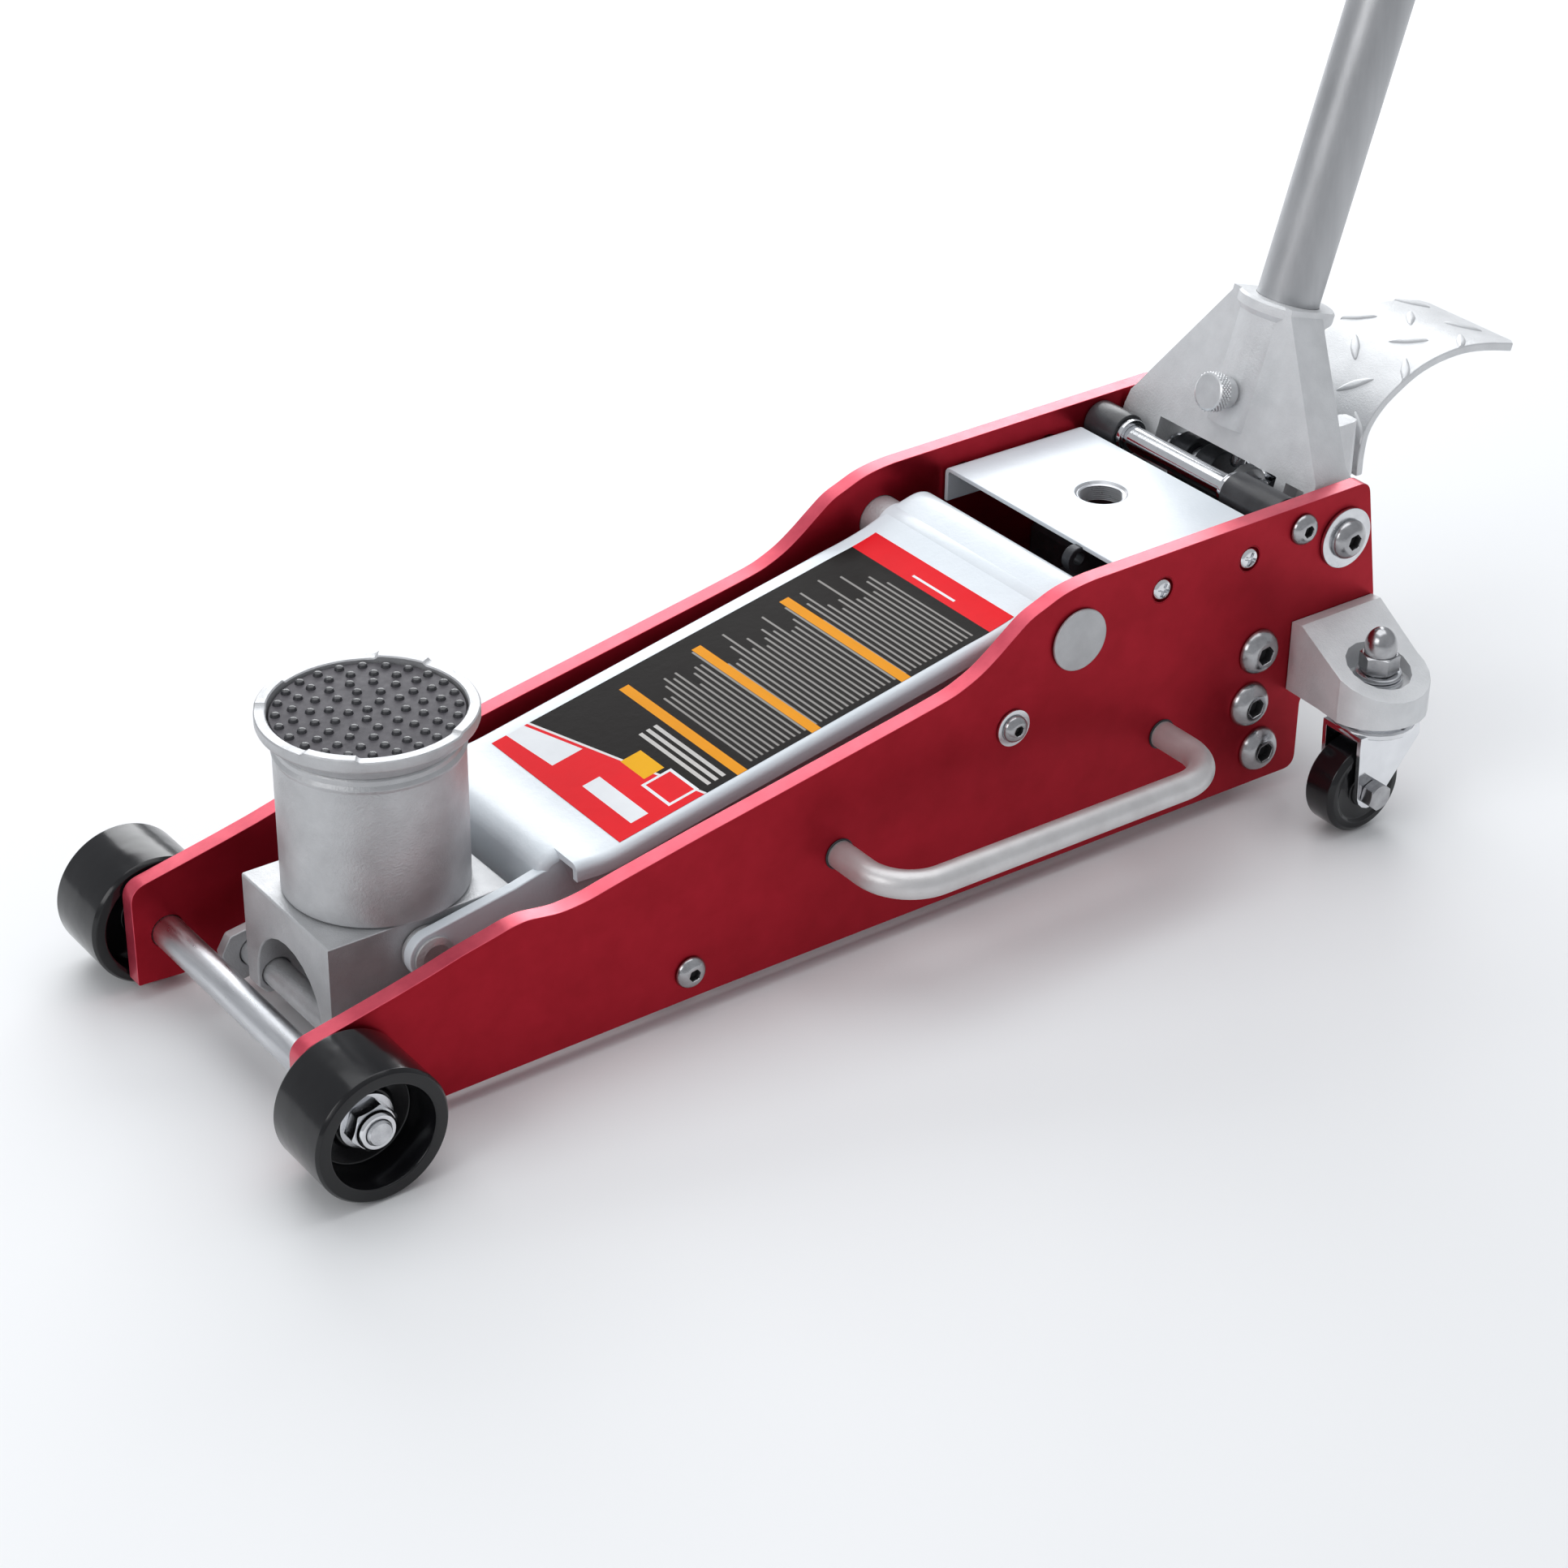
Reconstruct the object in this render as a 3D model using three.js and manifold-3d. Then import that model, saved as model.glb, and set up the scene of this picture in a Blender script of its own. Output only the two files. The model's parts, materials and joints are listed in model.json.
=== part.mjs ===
import * as THREE from 'three';
import { mergeVertices } from 'three/addons/utils/BufferGeometryUtils.js';
import Module from 'manifold-3d';

// Low-profile trolley jack. Millimetres, +Z up, +X to the handle end, -Y the near side.
// Working coordinates: X = 0 at the front wheel axle, Y = 0 on the centre plane, Z = 0 on the floor.

// ---- driving dimensions ----
const WHEEL_R = 32.5;            // front wheel radius
const WHEEL_IN = 83.4;           // front wheel inner face
const WHEEL_OUT = 122.7;         // front wheel outer face
const AXLE_R = 8;                // front axle radius
const PLATE_IN = 73.2;           // side plate inner face
const PLATE_OUT = 82.2;          // side plate outer face
const GAP = 0.3;                 // clearance between touching pieces
const ARM_PIVOT = [408.1, 129.2];
const LINK_PIVOT = [369.9, 93.4];
const HEAD_PIN = [70, 58];
const LINK_PIN = [31.8, 22.2];
const ARM_TOP_X0 = 163, ARM_TOP_Z0 = 89, ARM_SLOPE = 0.2048;
const ARM_T = 4;                 // lift arm plate thickness
const ARM_HALF = 62;             // lift arm outer half width
const SADDLE_X = 69.9;
const SADDLE_TOP = 163.5;
const SADDLE_R = 49.7;
const ADAPTER_R = 42.9;
const ADAPTER_Z0 = 73.7, ADAPTER_Z1 = 149.4;
const BLOCK_TOP = 73.4, BLOCK_HALF = 39.25;
const RAM_Z = 83;                // ram and cylinder axis height
const EAR_R = 50;                // lift arm lever radius
const EAR_ANGLE = 35;            // lever angle behind vertical at rest, degrees
const YOKE_PIVOT = [579.8, 134.6];
const HANDLE_LEAN = 17;          // degrees from vertical
const HANDLE_R = 16.25;
const HANDLE_LOW = 30, HANDLE_JOIN = 500, HANDLE_TOP = 1010;
const ROLLER_R = 22, ROLLER_PHI = 25;
const CASTER_X = 566, CASTER_Y = 128, CASTER_TRAIL = 10.6, CASTER_R = 24;
const CARRY_Z = 58.5, CARRY_Y = 127, CARRY_R = 7, CARRY_X0 = 268.6, CARRY_X1 = 466.2;
const REAR_SHAFT = [551, 147];
const TIE_BOLT = [184.3, 24.9];
const CENTRE_X = 429.58;         // middle of the whole length, becomes X = 0

const wasm = await Module();
wasm.setup();
const { Manifold, Mesh } = wasm;
const rad = (d) => (d * Math.PI) / 180;

// ---- geometry helpers ----
const toManifold = (g0) => {
  let g = g0.clone();
  for (const k of Object.keys(g.attributes)) if (k !== 'position') g.deleteAttribute(k);
  g = mergeVertices(g, 1e-4);
  return new Manifold(new Mesh({
    numProp: 3,
    vertProperties: new Float32Array(g.attributes.position.array),
    triVerts: new Uint32Array(g.index.array),
  }));
};
const toGeometry = (m) => {
  const r = m.getMesh();
  const g = new THREE.BufferGeometry();
  g.setAttribute('position', new THREE.BufferAttribute(new Float32Array(r.vertProperties), 3));
  g.setIndex(new THREE.BufferAttribute(new Uint32Array(r.triVerts), 1));
  return g;
};
const poly = (pts, holes = []) => {
  const s = new THREE.Shape(pts.map((p) => new THREE.Vector2(p[0], p[1])));
  for (const h of holes) s.holes.push(new THREE.Path(h.map((p) => new THREE.Vector2(p[0], p[1]))));
  return s;
};
const ring = (cx, cy, r, n, a0 = 0) => {
  const out = [];
  for (let i = 0; i < n; i++) {
    const a = rad(a0) + (2 * Math.PI * i) / n;
    out.push([cx + r * Math.cos(a), cy + r * Math.sin(a)]);
  }
  return out;
};
const arc = (cx, cy, r, a0, a1, n) => {
  const out = [];
  for (let i = 0; i <= n; i++) {
    const a = rad(a0 + ((a1 - a0) * i) / n);
    out.push([cx + r * Math.cos(a), cy + r * Math.sin(a)]);
  }
  return out;
};
const extrude = (shape, depth) => new THREE.ExtrudeGeometry(shape, { depth, bevelEnabled: false, steps: 1, curveSegments: 8 });
// outline in X,Z extruded from y0 to y1
const prismXZ = (pts, y0, y1, holes = []) => {
  const g = extrude(poly(pts), y1 - y0);
  g.rotateX(Math.PI / 2);
  g.translate(0, y1, 0);
  if (!holes.length) return g;
  let m = toManifold(g);
  for (const h of holes) m = m.subtract(toManifold(prismXZ(h, y0 - 5, y1 + 5)));
  return toGeometry(m);
};
// outline in X,Y extruded from z0 to z1
const prismXY = (pts, z0, z1, holes = []) => {
  const g = extrude(poly(pts, holes), z1 - z0);
  g.translate(0, 0, z0);
  return g;
};
// outline in Y,Z extruded from x0 to x1
const prismYZ = (pts, x0, x1) => {
  const g = extrude(poly(pts), x1 - x0);
  g.rotateX(Math.PI / 2);
  g.rotateZ(Math.PI / 2);
  g.translate(x0, 0, 0);
  return g;
};
const box = (x0, x1, y0, y1, z0, z1) => prismXY([[x0, y0], [x1, y0], [x1, y1], [x0, y1]], z0, z1);
// profile [radius, along] turned about an axis; profile starts and ends on the axis or is closed
const turn = (profile, n = 16) => new THREE.LatheGeometry(profile.map((p) => new THREE.Vector2(p[0], p[1])), n);
const turnY = (profile, x, z, n) => { const g = turn(profile, n); g.translate(x, 0, z); return g; };
const turnZ = (profile, x, y, n) => { const g = turn(profile, n); g.rotateX(Math.PI / 2); g.scale(1, -1, 1); g.translate(x, y, 0); return flip(g); };
const turnX = (profile, y, z, n) => { const g = turn(profile, n); g.rotateZ(-Math.PI / 2); g.translate(0, y, z); return g; };
function flip(g) {
  const ix = g.index.array;
  for (let i = 0; i < ix.length; i += 3) { const t = ix[i]; ix[i] = ix[i + 1]; ix[i + 1] = t; }
  return g;
}
const mirrorY = (g0) => { const g = g0.clone(); g.scale(1, -1, 1); if (!g.index) { const n = g.attributes.position.count; g.setIndex([...Array(n).keys()]); } return flip(g); };
const M = toManifold;
const hexRing = (cx, cy, af, a0 = 0) => ring(cx, cy, af / 2 / Math.cos(Math.PI / 6), 6, a0);

// ---- materials ----
const mat = (color, metalness, roughness) => new THREE.MeshStandardMaterial({ color, metalness, roughness });
const RED = mat(0x8e1b2a, 0.7, 0.45);
const CAST = mat(0xb9bbbd, 0.6, 0.5);
const WHITE = mat(0xe6edf1, 0.1, 0.4);
const ZINC = mat(0xc9ccd0, 0.9, 0.25);
const DARK = mat(0x2c2e32, 0.6, 0.5);
const BLACK = mat(0x111214, 0.0, 0.25);
const RUBBER = mat(0x2a2628, 0.0, 0.7);
const TUBE = mat(0xc4c6c8, 0.7, 0.35);

const part = new THREE.Group();
const add = (name, geometry, material) => {
  const g = geometry.index ? geometry : geometry;
  g.translate(-CENTRE_X, 0, 0);
  const m = new THREE.Mesh(g, material);
  m.name = name;
  part.add(m);
};
const both = (name, near, material) => {
  const far = mirrorY(near);
  add(`${name}_near`, near, material);
  add(`${name}_far`, far, material);
};

// ---- side plates ----
const plateOutline = [
  [-13.5, 8.2], [5, 7], [55, 8.4], [198, 10.2], [321, 10.4], [541, 9.6], [552, 9.4], [556.5, 10.6], [559.6, 14.5],
  [560, 20], [560, 40], [561, 46.5], [564.5, 51.5], [570.5, 55.5], [600, 60], [606.5, 62], [608.3, 66], [605.2, 96.7],
  [595.4, 151.7], [594, 157.5], [590.5, 160.3], [586, 161],
  [416.8, 158.2], [406.9, 157.3], [397.1, 155.4], [387.5, 151.9], [377.9, 147.9], [368.6, 141.3], [359.2, 134.2],
  [349.9, 128.1], [340.4, 123.7], [331, 120.7], [284, 111.7], [238, 103.3], [193, 95.2], [149, 86.8], [132, 83.2],
  [123.6, 82.1], [115, 81.8], [106.7, 82.8], [98.3, 84.1], [82, 81.5], [65, 78], [49, 73.8], [32, 69.9], [10, 65.2],
  [-8, 61.6], [-12.5, 60], [-16, 56.5], [-17, 52], [-17, 13], [-16, 9.8],
];
const plateHoles = [
  ring(0, WHEEL_R, AXLE_R + GAP, 24), ring(...TIE_BOLT, 5.3, 12), ring(...LINK_PIVOT, 6.3, 16),
  ring(...ARM_PIVOT, 12.8, 24), ring(...REAR_SHAFT, 5.3, 12), ring(...YOKE_PIVOT, 8.3, 20),
].map((h) => h.slice().reverse());
both('side_plate', prismXZ(plateOutline.slice().reverse(), -PLATE_OUT, -PLATE_IN, plateHoles), RED);

// ---- front axle, wheels, wheel nuts ----
const AXLE_END = 120;
add('front_axle', turnY([[0, -AXLE_END], [6, -AXLE_END], [6, -105.6], [AXLE_R, -105.6], [AXLE_R, 105.6], [6, 105.6], [6, AXLE_END], [0, AXLE_END]], 0, WHEEL_R, 16), ZINC);
{
  const o = -WHEEL_OUT, i = -WHEEL_IN;
  const p = [
    [AXLE_R + GAP, -105.8], [14.5, -105.8], [15.5, -103.6], [24, -103.6], [25.4, o], [31, o], [WHEEL_R, o + 1.6],
    [WHEEL_R, i - 1.6], [31, i], [26, i], [25, i - 10], [13, i - 10], [13, i - 0.4], [AXLE_R + GAP, i - 0.4],
  ];
  const g = turnY([...p, p[0]], 0, WHEEL_R, 24);
  both('front_wheel', g, BLACK);
  const washer = M(turnY([[6.3, -108], [13.2, -108], [13.2, -106.1], [6.3, -106.1], [6.3, -108]], 0, WHEEL_R, 16));
  const hex = M(prismXZ(hexRing(0, WHEEL_R, 20, 12).reverse(), -115, -107.9)).subtract(M(turnY([[0, -118], [6.3, -118], [6.3, -105], [0, -105]], 0, WHEEL_R, 16)));
  const collar = M(turnY([[6.3, -118.2], [8.2, -118.2], [9.2, -117], [9.2, -114.9], [6.3, -114.9], [6.3, -118.2]], 0, WHEEL_R, 16));
  both('wheel_nut', toGeometry(washer.add(hex).add(collar)), ZINC);
}

// ---- cross bolts through the plates ----
const domeHead = (r, y, h) => [[0, -y - h], [r * 0.45, -y - h], [r * 0.8, -y - h * 0.72], [r, -y - h * 0.25], [r, -y]];
add('tie_bolt_front', turnY([
  ...domeHead(8, PLATE_OUT + GAP, 4.2), [5, -PLATE_OUT - GAP], [5, -PLATE_IN + GAP], [7, -PLATE_IN + GAP],
  [7, PLATE_IN - GAP], [5, PLATE_IN - GAP], [5, PLATE_OUT + GAP], ...domeHead(8, PLATE_OUT + GAP, 4.2).reverse().map(([r, y]) => [r, -y]),
], ...TIE_BOLT, 12), ZINC);
add('lift_pivot_shaft', turnY([
  [0, -84.4], [15.2, -84.4], [16, -83.8], [16, -PLATE_OUT - GAP], [12.5, -PLATE_OUT - GAP], [12.5, PLATE_OUT + GAP], [16, PLATE_OUT + GAP], [16, 83.8], [15.2, 84.4], [0, 84.4],
], ...ARM_PIVOT, 24), CAST);
both('link_bolt', turnY([
  ...domeHead(6.6, 83.8, 4), [9.5, -83.8], [9.5, -PLATE_OUT - GAP], [6, -PLATE_OUT - GAP], [6, -PLATE_IN + GAP], [9, -PLATE_IN + GAP],
  [9, -56.8], [6, -56.8], [6, -49.8], [0, -49.8],
], ...LINK_PIVOT, 12), ZINC);
add('rear_cross_shaft', turnY([
  ...domeHead(8.2, PLATE_OUT + GAP, 4.4), [5, -PLATE_OUT - GAP], [5, -PLATE_IN + GAP], [6.5, -PLATE_IN + GAP],
  [6.5, PLATE_IN - GAP], [5, PLATE_IN - GAP], [5, PLATE_OUT + GAP], ...domeHead(8.2, PLATE_OUT + GAP, 4.4).reverse().map(([r, y]) => [r, -y]),
], ...REAR_SHAFT, 12), ZINC);
{
  const sleeve = (y0, y1) => turnY([[6.8, y0], [10.2, y0], [11, y0 + 1], [11, y1 - 1], [10.2, y1], [6.8, y1], [6.8, y0]], ...REAR_SHAFT, 16);
  add('shaft_sleeve_near', sleeve(-69, -32), BLACK);
  add('shaft_sleeve_far', sleeve(50, 72.6), BLACK);
}
both('handle_pivot_bolt', turnY([
  ...domeHead(10.5, 84.6, 6), [16, -84.6], [16, -PLATE_OUT - GAP], [8, -PLATE_OUT - GAP], [8, -43.5], [0, -43.5],
], ...YOKE_PIVOT, 16), ZINC);

// ---- cover plate ----
{
  const y1 = 72.4, z = 148.2, t = 2.5;
  const prof = [[-y1, z - 19], [-y1 + t, z - 19], [-y1 + t, z - t - 2], [-y1 + t + 2, z - t], [y1 - t - 2, z - t], [y1 - t, z - t - 2], [y1 - t, z - 19], [y1, z - 19], [y1, z - 3], [y1 - 1, z - 1], [y1 - 3, z], [-y1 + 3, z], [-y1 + 1, z - 1], [-y1, z - 3]];
  const sheet = M(prismYZ(prof, 448.4, 536));
  const boss = M(turnZ([[0, z - 9], [16, z - 9], [16, z - 1], [0, z - 1]], 494, 4, 16));
  const hole = M(turnZ([[0, z - 12], [11.8, z - 12], [11.8, z - 1.5], [13.4, z + 0.1], [13.4, z + 2], [0, z + 2]], 494, 4, 16));
  add('cover_plate', toGeometry(sheet.add(boss).subtract(hole)), WHITE);
}

// ---- lift arm ----
const armTop = (x) => ARM_TOP_Z0 + (x - ARM_TOP_X0) * ARM_SLOPE;
{
  // top sheet: rounded nose at the front, ramp, swept-up heel and rounded rear fold
  const skin = [
    [126, 57], [126, 75], [127, 80], [129.8, 84.2], [134, 87], [139, 88], [152, 87.6], [163, 89], [240, armTop(240)], [330, armTop(330)],
    [374, 132.2], [388.6, 136], [404, 141.8], [414, 145], [421, 146.2], [426.6, 145], [430.6, 141.4], [432.2, 136], [432.2, 124],
  ];
  const inner = [
    [428.2, 124], [428.2, 135.4], [427.2, 138.8], [424.6, 141.2], [421, 142.2], [415, 141], [405.2, 137.9], [389.8, 132.1], [375, 128.2], [330.8, armTop(330) - ARM_T],
    [240.8, armTop(240) - ARM_T], [163.4, 85], [152, 83.6], [140.4, 84], [135.4, 83.2], [132, 80.8], [130.6, 78.4], [130, 74.6], [130, 57],
  ];
  const web = 43.5;                // half width of the nose between the side webs
  const whole = M(prismXZ([...skin, ...inner].reverse(), -ARM_HALF, ARM_HALF));
  let sheet = M(prismXZ([...skin, ...inner].reverse(), -web, web));
  for (const s of [-1, 1]) sheet = sheet.add(whole.intersect(M(box(136, 440, s > 0 ? web - 1 : -ARM_HALF, s > 0 ? ARM_HALF : 1 - web, 50, 160))));
  // shallow lips turned down along both long edges
  const ridge = [[136, 88], ...skin.slice(6, -2)];
  const lip = M(prismXZ([...ridge, ...ridge.slice().reverse().map(([x, z]) => [x, z - 9])].reverse(), -ARM_HALF, -ARM_HALF + 4));
  // deep side webs that carry the head pins
  const flange = [
    ...skin.slice(1, -1).map(([x, z]) => [x, z]), [432.2, 124], [424, 113], [408, 109], [384, 112], [352, 99.5], [330, 84], [250, 68], [170, 58], [140, 60], [126, 62],
  ];
  const pinHole = M(turnY([[0, -70], [7.3, -70], [7.3, 70], [0, 70]], ...HEAD_PIN, 16));
  const tongue = [
    ...arc(HEAD_PIN[0], HEAD_PIN[1], 12, 290, 105, 10), [114, 77.5], [128, 81], [140, 81], [150, 56], [126, 51.5],
  ];
  const half = M(prismXZ(flange.slice().reverse(), -48, -42)).add(M(prismXZ(tongue, -48, -42))).add(lip);
  const halfFar = M(mirrorY(toGeometry(half)));
  const tube = M(turnY([[0, -61], [14.3, -61], [14.3, 61], [0, 61]], ...ARM_PIVOT, 20));
  const bore = M(turnY([[0, -80], [12.8, -80], [12.8, 80], [0, 80]], ...ARM_PIVOT, 20));
  const ex = ARM_PIVOT[0] + EAR_R * Math.sin(rad(EAR_ANGLE)), ez = ARM_PIVOT[1] - EAR_R * Math.cos(rad(EAR_ANGLE));
  const ear = [[ARM_PIVOT[0] + 19, ARM_PIVOT[1] - 3], [ARM_PIVOT[0] + 19, 138], [ARM_PIVOT[0] + 12, 141.5], [ARM_PIVOT[0], 139], [ARM_PIVOT[0] - 14, 134], [ARM_PIVOT[0] - 19, 126], ...arc(ARM_PIVOT[0], ARM_PIVOT[1], 19, 190, 250, 5), ...arc(ex, ez, 13, 215, 350, 8)];
  const earL = M(prismXZ(ear.slice().reverse(), -29, -21.5)), earR = M(prismXZ(ear.slice().reverse(), 21.5, 29));
  const pin = M(turnY([[0, -31], [8, -31], [8, 31], [0, 31]], ex, ez, 12));
  const arm = sheet.add(half).add(halfFar).add(tube).add(earL).add(earR).add(pin).subtract(bore).subtract(pinHole);
  add('lift_arm', toGeometry(arm), WHITE);
}

// ---- parallel links ----
{
  const dx = LINK_PIVOT[0] - LINK_PIN[0], dz = LINK_PIVOT[1] - LINK_PIN[1];
  const a = (Math.atan2(dz, dx) * 180) / Math.PI;
  const tip = [[8, 12.5], [-9, 13.5], [-15.5, 6.5], [-15.5, -4.5], [-9.5, -12], [8, -12]].map(([p, q]) => [LINK_PIN[0] + p * Math.cos(rad(a)) - q * Math.sin(rad(a)), LINK_PIN[1] + p * Math.sin(rad(a)) + q * Math.cos(rad(a))]);
  const out = [...arc(...LINK_PIVOT, 11, a - 90, a + 90, 8), ...tip];
  const holes = [ring(...LINK_PIVOT, 6.3, 16), ring(...LINK_PIN, 7.5, 16)].map((h) => h.slice().reverse());
  both('parallel_link', prismXZ(out.slice().reverse(), -56.4, -50.4, holes), DARK);
}

// ---- lift head block with its pins ----
{
  const prof = [[22.3, BLOCK_TOP], [117, BLOCK_TOP], [117, 36], [96, 23], [50, 12], [27, 12], [22.3, 17]];
  let b = M(prismXZ(prof, -BLOCK_HALF, BLOCK_HALF));
  b = b.subtract(M(prismYZ([[-29, 0], [29, 0], ...arc(0, 26, 29, 0, 180, 12)], 10, 130)));
  b = b.subtract(M(turnZ([[0, 40], [12.3, 40], [12.3, 90], [0, 90]], SADDLE_X, 0, 16)));
  b = b.subtract(M(turnY([[0, -60], [7.3, -60], [7.3, -31], [0, -31]], ...HEAD_PIN, 16)));
  b = b.subtract(M(turnY([[0, 31], [7.3, 31], [7.3, 60], [0, 60]], ...HEAD_PIN, 16)));
  b = b.subtract(M(turnY([[0, -60], [7.3, -60], [7.3, 60], [0, 60]], ...LINK_PIN, 16)));
  add('lift_head', toGeometry(b), CAST);
  both('head_pin', turnY([[0, -51.4], [7, -51.4], [10, -49.6], [10, -48.3], [7, -48.3], [7, -41.7], [11.5, -41.7], [11.5, -39.6], [7, -39.6], [7, -31.4], [0, -31.4]], ...HEAD_PIN, 12), CAST);
  add('link_rod', turnY([[0, -59.8], [8.5, -59.8], [9.5, -58.8], [9.5, -56.8], [7, -56.8], [7, 56.8], [9.5, 56.8], [9.5, 58.8], [8.5, 59.8], [0, 59.8]], ...LINK_PIN, 12), DARK);
}

// ---- extension adapter, saddle, pad ----
add('saddle_adapter', turnZ([
  [0, 56.5], [11, 56.5], [12, 58], [12, ADAPTER_Z0], [41.9, ADAPTER_Z0], [ADAPTER_R, ADAPTER_Z0 + 1.2], [ADAPTER_R, 143.4], [ADAPTER_R + 0.8, 144.6],
  [ADAPTER_R - 0.8, 146], [ADAPTER_R - 0.8, ADAPTER_Z1 - 1], [41.2, ADAPTER_Z1], [12.3, ADAPTER_Z1], [12.3, 122], [0, 122],
], SADDLE_X, 0, 24), CAST);
add('saddle', turnZ([
  [0, 123], [11, 123], [12, 124.2], [12, ADAPTER_Z1 + GAP], [42.2, ADAPTER_Z1 + GAP], [43.2, 151], [46.2, 154.4], [49.2, 156.8], [SADDLE_R, 158], [SADDLE_R, SADDLE_TOP - 0.6],
  [SADDLE_R - 0.7, SADDLE_TOP], [45.4, SADDLE_TOP], [44.6, SADDLE_TOP - 0.8], [44.2, 155], [0, 155],
], SADDLE_X, 0, 24), CAST);
add('saddle_pad', turnZ([[0, 155.3], [43.2, 155.3], [43.2, 160], [42.4, 160.8], [0, 160.8]], SADDLE_X, 0, 24), RUBBER);

// ---- hydraulic unit ----
const EAR_X = ARM_PIVOT[0] + EAR_R * Math.sin(rad(EAR_ANGLE));
{
  const slot = 8 + 1.15, zLow = ARM_PIVOT[1] - EAR_R, zHigh = ARM_PIVOT[1] - EAR_R * Math.cos(rad(EAR_ANGLE));
  const cross = M(prismXZ([[EAR_X - 13.5, 67], [EAR_X - 11, 65], [EAR_X + 11, 65], [EAR_X + 13.5, 67], [EAR_X + 13.5, 99], [EAR_X + 11, 101.5], [EAR_X - 11, 101.5], [EAR_X - 13.5, 99]], -20, 20))
    .subtract(M(prismXZ([...arc(EAR_X, zHigh + 0.3, slot, 0, 180, 8), ...arc(EAR_X, zLow - 0.3, slot, 180, 360, 8)], -30, 30)));
  add('ram_crosshead', toGeometry(cross), DARK);
  const x0 = EAR_X + 13.8;
  add('ram', turnX([[0, x0], [15, x0], [15, x0 + 80], [0, x0 + 80]], 0, RAM_Z, 16), ZINC);
  add('lift_cylinder', turnX([[15.3, 457], [21, 457], [22, 458], [22, 464], [27, 464.5], [27, 507.7], [15.3, 507.7], [15.3, 457]], 0, RAM_Z, 16), DARK);
  let b = M(prismXZ([[508, 18], [512, 15], [551, 15], [555, 19], [555, 56], [559, 60], [584, 60], [588, 64], [588, 97], [584, 101], [512, 101], [508, 97]], -72.9, 72.9));
  b = b.add(M(prismXY([[580, -20], [607, -20], [611, -16], [611, 16], [607, 20], [580, 20]], 57, 101)));
  b = b.subtract(M(turnX([[0, 500], [15.3, 500], [15.3, 552], [0, 552]], 0, RAM_Z, 16)));
  for (const s of [-1, 1]) b = b.subtract(M(turnZ([[0, 62], [6.3, 62], [6.3, 110], [0, 110]], 600, s * 11.5, 12)));
  b = b.subtract(M(turnZ([[0, 88], [4.3, 88], [4.3, 110], [0, 110]], YOKE_PIVOT[0], 0, 12)));
  // notches that clear the handle yoke legs
  for (const s of [-1, 1]) b = b.subtract(M(box(566, 594, s > 0 ? 42 : -90, s > 0 ? 90 : -42, 92, 120)));
  add('power_unit', toGeometry(b), DARK);
  const rz = YOKE_PIVOT[1] + ROLLER_R * Math.sin(rad(ROLLER_PHI));
  const piston = turnZ([[0, rz - 9.6 - 50], [6, rz - 9.6 - 50], [6, rz - 9.6 - 3], [7.6, rz - 9.6 - 3], [7.6, rz - 10.2], [7, rz - 9.6], [0, rz - 9.6]], 600, -11.5, 12);
  both('pump_piston', piston, ZINC);
  add('release_spindle', turnZ([[0, 89], [4, 89], [4, 112], [6, 112], [6, 122], [3, 122], [3, 127], [0, 127]], YOKE_PIVOT[0], 0, 10), ZINC);
}

// ---- handle yoke, roller, thumb screw, foot pedal ----
// local yoke axes: y across, u along the handle, w forward
const uw = (u, w) => [YOKE_PIVOT[0] + u * Math.sin(rad(HANDLE_LEAN)) - w * Math.cos(rad(HANDLE_LEAN)), YOKE_PIVOT[1] + u * Math.cos(rad(HANDLE_LEAN)) + w * Math.sin(rad(HANDLE_LEAN))];
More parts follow.
